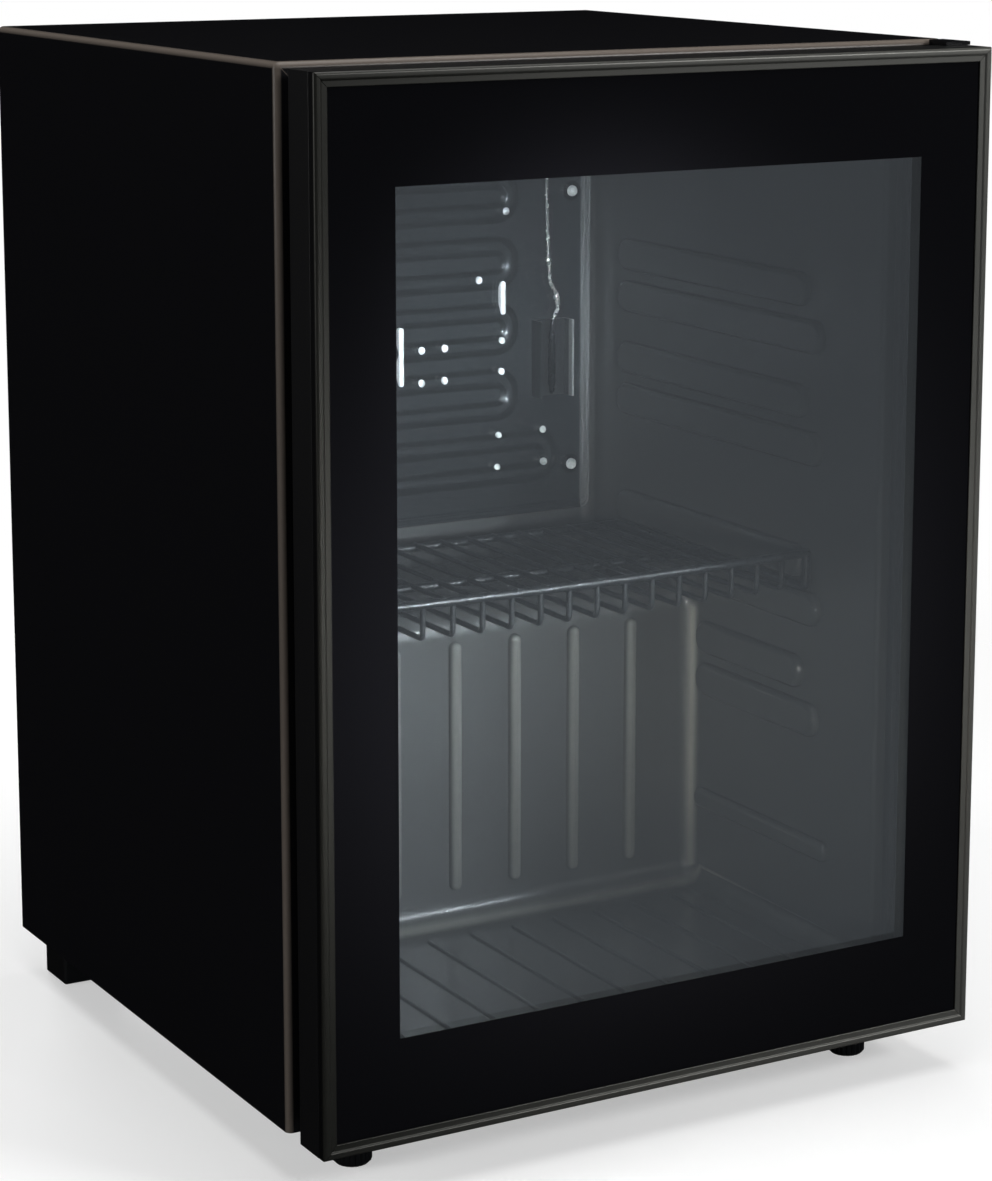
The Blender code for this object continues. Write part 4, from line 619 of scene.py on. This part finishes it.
# Compressor. A motor and pump in a welded steel can, painted black, on a leg plate that stands on four rubber
# grommets. A cover with a cable gland closes its terminals.
can_x, can_y, can_low = -0.055, 0.1335, 0.0351
rim = can_low + 0.066
can_high = can_low + 0.118
corners = [(0.0001, can_low), (0.05, can_low), (0.06, can_low + 0.022), (0.06, rim)]
corners += [(0.063, rim), (0.063, rim + 0.005), (0.0588, rim + 0.005), (0.0572, can_high - 0.02)]
corners += [(0.044, can_high), (0.0001, can_high)]
radii = [0, 0.012, 0.02, 0.001, 0.001, 0.001, 0.0015, 0.016, 0.016, 0]
can = turned(bent(corners, radii), (can_x, can_y, 0), "z", 96, (1, 0.783))
leg = pad((can_x, can_y, 0.0411), right, back, up, (0.15, 0.086), 0.01, 0.003, 0.0004, 0)
fix(skin("compressor_can", black_paint, [can, leg]), "black_painted_steel", "compressor")

# Moulded rubber: matt black with a fine bloom about 1 mm across.
rubber, tree, shader = new_material("moulded_rubber", "#161616", 0.75)
mottle(tree, shader, 0.001, 0.68, 0.82, 0.00003)

grommet = [(0.008, 0.0298), (0.008, 0.0408), (0.0045, 0.0408), (0.0045, 0.0444)]
grommet += [(0.0065, 0.0444), (0.0065, 0.0464), (0.0001, 0.0464)]
grommet = np.concatenate([[(0.0001, 0.0298)], bent(grommet, [0.001, 0.001, 0, 0, 0.0006, 0.0008, 0], 3)])
for number, (side, end) in enumerate([(-1, -1), (-1, 1), (1, -1), (1, 1)], 1):
    place = (can_x + side * 0.0645, can_y + end * 0.0325, 0)
    foot = skin(f"rubber_grommet_{number}", rubber, [turned(grommet, place, "z", 32)])
    fix(foot, "black_rubber", f"compressor_grommet_{number}")
bore = [(0.0075, 0), (0.0075, 0.003), (0.0055, 0.003), (0.0055, 0.012), (0.0035, 0.012), (0.0035, 0)]
bore = bent(bore, [0.0004, 0.0008, 0, 0.0008, 0.0006, 0], 3, closed=True)
gland = skin("lead_gland", rubber, [turned(bore, (0.026, 0.1558, 0.0921), "y", 32, kind="ring")])
fix(gland, "black_rubber", "cord_gland")
dress(black_abs, "relay_cover")


# Defrost drain. Water from the plate runs off the hump's top through a moulded tube in the foam and drips
# into a tray on the compressor, whose warmth dries it off.
pipe_wall = [(0.01, 0.2403), (0.01, 0.2413), (0.004, 0.2413)]
pipe_wall += [(0.004, 0.1697), (0.006, 0.1697), (0.006, 0.2403)]
pipe_wall = bent(pipe_wall, [0.0003, 0.0004, 0.0006, 0, 0, 0], 3, closed=True)
drain = skin("drain_pipe", white_abs, [turned(pipe_wall, (-0.031, 0.12, 0), "z", 32, kind="ring")])
fix(drain, "white_plastic", "drain_tube")

tray_low, tray_high = 0.1534, 0.1694
rows = [(0.003, tray_low), (0.0008, tray_low + 0.0008), (0, tray_low + 0.003), (0, tray_high - 0.0005)]
rows += [(0.0005, tray_high), (0.001, tray_high), (0.0015, tray_high - 0.0005)]
rows += [(0.0015, tray_low + 0.0035), (0.0025, tray_low + 0.002), (0.0045, tray_low + 0.0015)]
loops = np.stack([rounded_rectangle((0.048 - step, 0.037 - step), 0.006 - step) for step, _ in rows])
level = np.broadcast_to(np.array([level for _, level in rows])[:, None, None], (*loops.shape[:2], 1))
basin = np.concatenate([loops + (can_x, can_y), level], -1)
fix(skin("defrost_tray", black_abs, [(basin, "tube")]), "black_plastic", "drip_tray")


# Condenser. A steel tube winds down the back and gives off the heat, helped by wires welded across it; both
# are painted black. Two brackets hold it off the rear panel.
condenser_plane, pass_half, riser = 0.1965, 0.165, -0.181
line = serpentine(pass_half, 0.548 - 0.026 * np.arange(13))[1:]
line = np.concatenate([[(riser, 0.19), (riser, 0.548)], line, [(pass_half, 0.1583)]])
line = np.stack([line[:, 0], np.full(len(line), condenser_plane), line[:, 1]], -1)
winding = skin("condenser_winding", black_paint, [tube(bent(line, 0.0127, 8), 0.0024, back, 12)])
fix(winding, "black_painted_steel", "condenser_tube")

fin_plane, fin, pitch = 0.2, 0.0008, 0.016
rods = []
for across_at in np.arange(-8, 9) * pitch:
    ends = [(across_at, fin_plane, 0.2232), (across_at, fin_plane, 0.5608)]
    rods.append(tube(ends, fin, back, 10))
for level_at in (0.2238, 0.5602):
    ends = [(-0.1288, fin_plane, level_at), (0.1288, fin_plane, level_at)]
    rods.append(tube(ends, fin, back, 10))
fix(skin("condenser_fins", black_paint, rods), "black_painted_steel", "condenser_wires")


# Refrigerant pipes and filter drier. Soft copper, bent cold and brazed: the discharge pipe feeds the
# condenser, drier and thin capillary lead to the evaporator, and the suction pipe brings the vapour back.


def can_wall(angle, level):
    """A point 0.3 mm off the can, which is an ellipse in plan, and the direction straight out from it."""
    half = np.array([0.06, 0.047, 1])
    wall = half * (math.cos(angle), math.sin(angle), 0)
    out = wall / half**2
    out /= np.linalg.norm(out)
    return np.array([can_x, can_y, level]) + wall + seat_gap * out, out


outlet, out = can_wall(math.radians(165), can_low + 0.04)
corner = outlet + 0.018 * out
route = [outlet, corner, (riser, condenser_plane, corner[2]), (riser, condenser_plane, 0.1897)]
route = bent(route, [0, 0.0096, 0.012, 0], 8)
fix(skin("discharge_line", copper, [tube(route, 0.0025, (1, 0.6, 0.3))]), "copper", "discharge_pipe")
inlet, out = can_wall(math.radians(215), can_low + 0.04)
corner = inlet + 0.0192 * out
route = bent([inlet, corner, (corner[0], corner[1], 0.2017)], [0, 0.012, 0], 8)
fix(skin("suction_line", copper, [tube(route, 0.004, np.cross(out, up), 20)]), "copper", "suction_pipe")
shell = bent([(0.0024, 0.083), (0.009, 0.095), (0.009, 0.146), (0.0024, 0.158)], [0, 0.006, 0.006, 0])
drier = skin("drier_shell", copper, [turned(shell, (pass_half, condenser_plane, 0), "z", 40)])
fix(drier, "copper", "filter_drier")
route = [(condenser_plane, 0.0827), (condenser_plane, 0.065), (0.0613, 0.065)]
route = bent([(pass_half, *corner) for corner in route], [0, 0.012, 0], 8)
fix(skin("capillary_line", copper, [tube(route, 0.0011, right, 12)]), "copper", "capillary_pipe")


# Feet. The two front ones are moulded knobs on threaded stems, turned by their knurls to level the cabinet;
# the two at the back are plain blocks.
turn = np.linspace(0, 2 * np.pi, 240, endpoint=False)
knurls, knurl_deep = 20, 0.0006
knurl = knurl_deep * np.abs(np.sin(knurls / 2 * turn)) ** 0.7
# Each row is a radius, the share of the knurls it has, and a level.
rows = [(0.0001, 0, 0), (0.008, 0, 0), (0.0088, 0.2, 0.0002), (0.0104, 0.9, 0.0018)]
rows += [(0.0105, 1, 0.0024), (0.0105, 1, 0.0255), (0.0102, 0.8, 0.0268), (0.009, 0, 0.0277)]
rows += [(0.003, 0, 0.0277), (0.003, 0, 0.0375), (0.0001, 0, 0.0375)]
radius, share, level = np.array(rows).T[..., None]
reach = radius - share * (knurl_deep - knurl)
level = np.broadcast_to(level, reach.shape)
block_high = 0.0277
for side, sign in (("left", -1), ("right", 1)):
    shape = (sign * 0.158 + reach * np.cos(turn), -0.1515 + reach * np.sin(turn), level)
    foot = skin(f"levelling_foot_{side}", black_abs, [(np.stack(shape, -1), "tube")], 25)
    fix(foot, "black_plastic", f"front_foot_{side}", body=f"{side}_foot")
    place = (sign * 0.174, 0.1841, block_high)
    block = pad(place, right, back, -up, (0.03, 0.031), 0.002, block_high, 0.0012, 0)
    fix(skin(f"block_foot_{side}", black_abs, [block]), "black_plastic", f"rear_foot_{side}")


# Door frame. Four lengths of extruded ABS, mitred and welded: a thin wall round the panes' edges and a deep
# web behind them with a groove for the gasket.
door_front, door_half, door_middle, door_rise = -0.206, 0.201, 0.29975, 0.27175
door_corners = np.array([(-1, -1), (1, -1), (1, 1), (-1, 1)])


def door_ring(profile):
    """A profile of (inset, depth) carried round the door's four sides: inset moves it in from the door's
    edge, depth back from its front, and neighbouring sides meet in a mitre."""
    inset, depth = np.asarray(profile).T
    across = door_corners[:, :1] * (door_half - inset)
    level = door_middle + door_corners[:, 1:] * (door_rise - inset)
    return np.stack([across, np.broadcast_to(door_front + depth, across.shape), level], -1)


profile = [(0, 0.0063), (0.0032, 0.0063), (0.0032, 0.0199), (0.031, 0.0199), (0.031, 0.0285)]
profile += [(0.025, 0.0285), (0.025, 0.024), (0.019, 0.024), (0.019, 0.0285), (0, 0.0285)]
radii = [0.0003, 0, 0, 0.003, 0.001, 0.0004, 0, 0, 0.0004, 0.0012]
profile = bent(profile, radii, 4, closed=True)
door_frame = skin("frame_extrusion", black_abs, [(door_ring(profile), "ring")])
inside = np.clip((profile[:, 0] - 0.0255) / 0.001, 0, 1)
mark(door_frame, "lip", np.tile(inside, len(door_corners)))
fix(door_frame, "black_plastic", "door_frame", body="door")


# Panes. Two sheets of toughened glass with an aluminium spacer bar between them. On the front one a border is
# screen printed in black enamel and fired on, which hides the frame and leaves the window clear.


def glass(name, tint, share):
    """Clear glass: what is behind it, seen through a tint, under a mirror. The mirror's share is Schlick's:
    the share seen straight on, and the rest times (1 - cosine of the viewing angle)^5."""
    material, tree, mirror = new_material(name, "#ffffff", 0.02, Metallic=1)
    clear = add_node(tree, "BsdfTransparent", {"Color": linear(tint)})
    facing = add_node(tree, "LayerWeight", {"Blend": 0.5}).outputs["Facing"]
    power = add_node(tree, "Math", {"operation": "POWER", 1: 5}, {0: facing}).outputs[0]
    rest = {"operation": "MULTIPLY_ADD", 1: 1 - share, 2: share}
    schlick = add_node(tree, "Math", rest, {0: power}).outputs[0]
    surface = add_node(tree, "MixShader", {}, {0: schlick, 1: clear.outputs[0], 2: mirror.outputs[0]})
    tree.links.new(surface.outputs[0], tree.nodes["Material Output"].inputs["Surface"])
    return material


# The front pane's thin metal film keeps warmth out and mirrors a fifth of the light; the inner one is plain.
dress(glass("metal_coated_glass", "#f8fafb", 0.2), "front_pane")
dress(glass("plain_glass", "#f6f8f9", 0.03), "inner_pane")
# Anodised aluminium, dark: a metal with the sheen of fine etching about 0.4 mm across.
dark_anodised, tree, shader = new_material("dark_anodised_aluminium", "#2b2c2e", 0.4, Metallic=0.8)
mottle(tree, shader, 0.0004, 0.34, 0.46, 0.00001)
dress(dark_anodised, "pane_spacer")

print_edge, side_border, end_border = 0.0036, 0.044, 0.0565
print_front, print_back = 0.00188, 0.00196
outside = door_corners * (door_half - print_edge, door_rise - print_edge)
window = door_corners * (door_half - side_border, door_rise - end_border)
loops = np.stack([outside, window, window, outside])
depth = door_front + np.array([print_front, print_front, print_back, print_back])
depth = np.broadcast_to(depth[:, None], loops.shape[:2])
border = np.stack([loops[..., 0], depth, door_middle + loops[..., 1]], -1)
# Fired enamel: an even deep black with a faint screen grain about 0.6 mm across.
enamel, tree, shader = new_material("fired_black_enamel", "#08080a", 0.1, Specular_IOR_Level=0.06)
mottle(tree, shader, 0.0006, 0.08, 0.12, 0.000001)
fix(skin("printed_border", enamel, [(border, "ring")]), "black_plastic", body="door")


# Door gasket. Soft extruded vinyl with a magnet strip in its head: a dart snaps into the frame's groove, and
# the waist lets the head pull flat on the cabinet.
profile = [(0.0193, 0.0243), (0.0247, 0.0243), (0.0247, 0.0288), (0.0305, 0.0288), (0.0305, 0.0313)]
profile += [(0.0263, 0.0335), (0.0305, 0.0357), (0.0305, 0.0417), (0.013, 0.0417), (0.013, 0.0357)]
profile += [(0.0172, 0.0335), (0.013, 0.0313), (0.013, 0.0288), (0.0193, 0.0288)]
radii = [0.0005, 0.0005, 0, 0.0008, 0.0008, 0.001, 0.001, 0.0012, 0.0012, 0.001, 0.001, 0.0008, 0.0008, 0]
profile = bent(profile, radii, 4, closed=True)
# Extruded vinyl: dark grey and satin, with a drag grain about 0.5 mm across.
vinyl, tree, shader = new_material("extruded_vinyl", "#2c2e30", 0.5)
mottle(tree, shader, 0.0005, 0.44, 0.56, 0.00001)
fix(skin("vinyl_gasket", vinyl, [(door_ring(profile), "ring")]), "black_rubber", "door_gasket", body="door")


# Door trim. Four mitred lengths of anodised aluminium extrusion clip over the edge of the front pane. Each
# has a rounded ridge at the door's edge and a lower flat band towards the glass.
profile = [(0, 0.006), (0, 0), (0.0036, 0), (0.0043, 0.0009), (0.0075, 0.0009), (0.0075, 0.0017)]
profile += [(0.0032, 0.0017), (0.0032, 0.006)]
radii = [0.0002, 0.0017, 0.0012, 0.0006, 0.0004, 0.0003, 0, 0]
ring = door_ring(bent(profile, radii, 7, closed=True))
# Anodised aluminium, brushed to a warm grey at its front, with lines drawn 0.3 mm apart so that they show.
# The outer flank is painted black as shade, and the grey is painted paler towards the hinges as the light
# from the front right falls on it.
anodised, tree, shader = new_material(
    "anodised_aluminium", "#20201d", 0.34, Metallic=0.4, Specular_IOR_Level=0.2
)
place = add_node(tree, "TexCoord").outputs["Object"]
noise = add_node(tree, "TexNoise", {"Scale": 1 / 0.0003, "Detail": 2}, {"Vector": place}).outputs["Fac"]
spread = add_node(tree, "MapRange", {"To Min": 0.26, "To Max": 0.42}, {"Value": noise})
place = add_node(tree, "SeparateXYZ", links={"Vector": place}).outputs
painted_light_to_hinges = {"From Min": -door_half, "From Max": door_half, "To Min": 0.5}
painted_light_to_hinges = add_node(tree, "MapRange", painted_light_to_hinges, {"Value": place["X"]}).outputs["Result"]
# The front face is grey, the flank painted black as shade; towards the hinges the front is painted paler as
# light.
front = {"From Min": door_front + 0.0024, "From Max": door_front + 0.001}
front = add_node(tree, "MapRange", front, {"Value": place["Y"], "To Max": painted_light_to_hinges}).outputs["Result"]
shade(tree, shader, front, {0: "#0c0c0d", 0.5: "#20201d", 1: "#484845"})
tree.links.new(spread.outputs["Result"], shader.inputs["Roughness"])
mitre_gap = 0.00015
for name, start, end in (("left", 0, 3), ("right", 1, 2), ("top", 3, 2), ("bottom", 0, 1)):
    length = ring[[start, end]]
    inward = length[1, 0] - length[0, 0]
    inward *= mitre_gap / np.linalg.norm(inward)
    length = length + np.stack([inward, -inward])[:, None]
    trim = skin(f"edge_trim_{name}", anodised, [(length, "tube")], 30)
    fix(trim, "trim_aluminium", f"door_trim_{name}", body="door")


# Hinges. Steel angle brackets, painted black, are fixed to the cabinet's front at the right; their pins turn
# in nylon bushes pressed into the door's edges.

# Moulded nylon: ivory, faintly waxy, with a grain about 0.7 mm across.
nylon, tree, shader = new_material("moulded_nylon", "#c9c6bb", 0.5)
mottle(tree, shader, 0.0007, 0.44, 0.56, 0.00001)
dress(black_paint, "hinge_top", "hinge_bottom")
dress(nylon, "hinge_bush_top", "hinge_bush_bottom")


# Studio. A white floor fades into a white surround; large soft lights stand overhead, at the front right, at
# the left and behind, and three small ones with honeycombs shine through the window, on the hump, its ribs
# and the cooling plate. Reflections see a grey room in front and a black one behind.
scene = bpy.context.scene
scene.view_settings.view_transform = "Standard"

# Studio paper: matt and even, a little brighter to the camera, and clear towards its edge.
paper, tree, shader = new_material("white_paper", "#b4b4b4", 0.9, Specular_IOR_Level=0.1)
place = add_node(tree, "TexCoord").outputs["Object"]
far = add_node(tree, "VectorMath", {"operation": "LENGTH"}, {0: place}).outputs["Value"]
fade = {"interpolation_type": "SMOOTHSTEP", "From Min": 0.5, "From Max": 1.4}
fade = add_node(tree, "MapRange", fade, {"Value": far}).outputs["Result"]
clear = add_node(tree, "BsdfTransparent")
seen = add_node(tree, "LightPath").outputs["Is Camera Ray"]
strength = add_node(tree, "Math", {"operation": "MULTIPLY", 1: 0.45}, {0: seen}).outputs[0]
glow = add_node(tree, "Emission", {"Color": linear("#ffffff")}, {"Strength": strength})
lit = add_node(tree, "AddShader", {}, {0: shader.outputs[0], 1: glow.outputs[0]})
surface = add_node(tree, "MixShader", {}, {0: fade, 1: lit.outputs[0], 2: clear.outputs[0]})
tree.links.new(surface.outputs[0], tree.nodes["Material Output"].inputs["Surface"])
mesh = bpy.data.meshes.new("floor")
mesh.from_pydata([(-1.5, -1.5, 0), (1.5, -1.5, 0), (1.5, 1.5, 0), (-1.5, 1.5, 0)], [], [(0, 1, 2, 3)])
mesh.materials.append(paper)
floor = bpy.data.objects.new("floor", mesh)
floor.visible_glossy = False
scene.collection.objects.link(floor)


def soft_light(name, place, target, size, power, spread=180, warmth="#ffffff"):
    """A rectangular soft light that faces a point; a honeycomb narrows its spread to an angle."""
    lamp = bpy.data.lights.new(name, "AREA")
    lamp.shape = "RECTANGLE"
    lamp.size, lamp.size_y = size
    lamp.energy = power
    lamp.spread = math.radians(spread)
    lamp.color = linear(warmth)[:3]
    made = bpy.data.objects.new(name, lamp)
    made.location = place
    made.rotation_euler = (Vector(target) - Vector(place)).to_track_quat("-Z", "Y").to_euler()
    made.visible_camera = False
    scene.collection.objects.link(made)


soft_light("overhead_light", (0, -0.3, 1.9), (0, -0.3, 0), (1.4, 1.4), 30)
soft_light("right_light", (1.05, -1.75, 1.1), (0, 0, 0.2), (0.6, 0.4), 32)
soft_light("left_light", (-1.9, 0.35, 0.7), (-0.2, 0, 0.3), (0.8, 0.8), 16)
soft_light("rear_light", (0.2, 2.2, 0.34), (0, 0.2, 0.3), (0.8, 0.4), 50)
soft_light("hump_light", (0.35, -1.95, 0.6), (-0.08, 0.02, 0.25), (0.2, 0.2), 1.35, 12)
soft_light("rib_light", (-0.95, -1.75, 0.36), (0.15, 0.02, 0.19), (0.2, 0.2), 0.21, 8, "#fff4e6")
soft_light("plate_light", (-0.55, -1.85, 0.62), (0.07, 0.136, 0.385), (0.1, 0.1), 0.58, 7)

world = bpy.data.worlds.new("white_surround")
scene.world = world
world.use_nodes = True
tree = world.node_tree
ray = add_node(tree, "LightPath").outputs
seen = {0: ray["Is Camera Ray"], 1: ray["Is Transmission Ray"]}
seen = add_node(tree, "Math", {"operation": "MAXIMUM"}, seen).outputs[0]
white = add_node(tree, "MapRange", {"To Min": 0.12, "To Max": 1}, {"Value": seen}).outputs["Result"]
white = add_node(tree, "Background", {"Color": linear("#ffffff")}, {"Strength": white}).outputs[0]
way = add_node(tree, "TexCoord").outputs["Generated"]
way = add_node(tree, "SeparateXYZ", links={"Vector": way}).outputs["Y"]
front = {"interpolation_type": "SMOOTHSTEP", "From Min": 0.2, "From Max": -0.5, "To Max": 0.17}
front = add_node(tree, "MapRange", front, {"Value": way}).outputs["Result"]
grey = add_node(tree, "Background", {"Color": linear("#d4dee8")}, {"Strength": front}).outputs[0]
surround = add_node(tree, "MixShader", {}, {0: ray["Is Glossy Ray"], 1: white, 2: grey}).outputs[0]
tree.links.new(surround, tree.nodes["World Output"].inputs["Surface"])


# Camera. It stands at the photograph's place, a little left of the door and above the top, with a long lens.
# The lens is shifted, so that its axis meets the picture above the middle, at row 430 of 1181.
pixels_high, axis_row, focal = 1181, 430, 3194.1
tilt, heading = 10.227, -29.579
sensor = 36
lens = bpy.data.cameras.new("camera")
lens.sensor_width = sensor
lens.lens = focal * sensor / pixels_high
lens.shift_y = -(pixels_high / 2 - axis_row) / pixels_high
camera = bpy.data.objects.new("camera", lens)
camera.location = (-0.8704, -1.5589, 0.6725)
camera.rotation_euler = (math.radians(90 - tilt), 0, math.radians(heading))
scene.collection.objects.link(camera)
scene.camera = camera
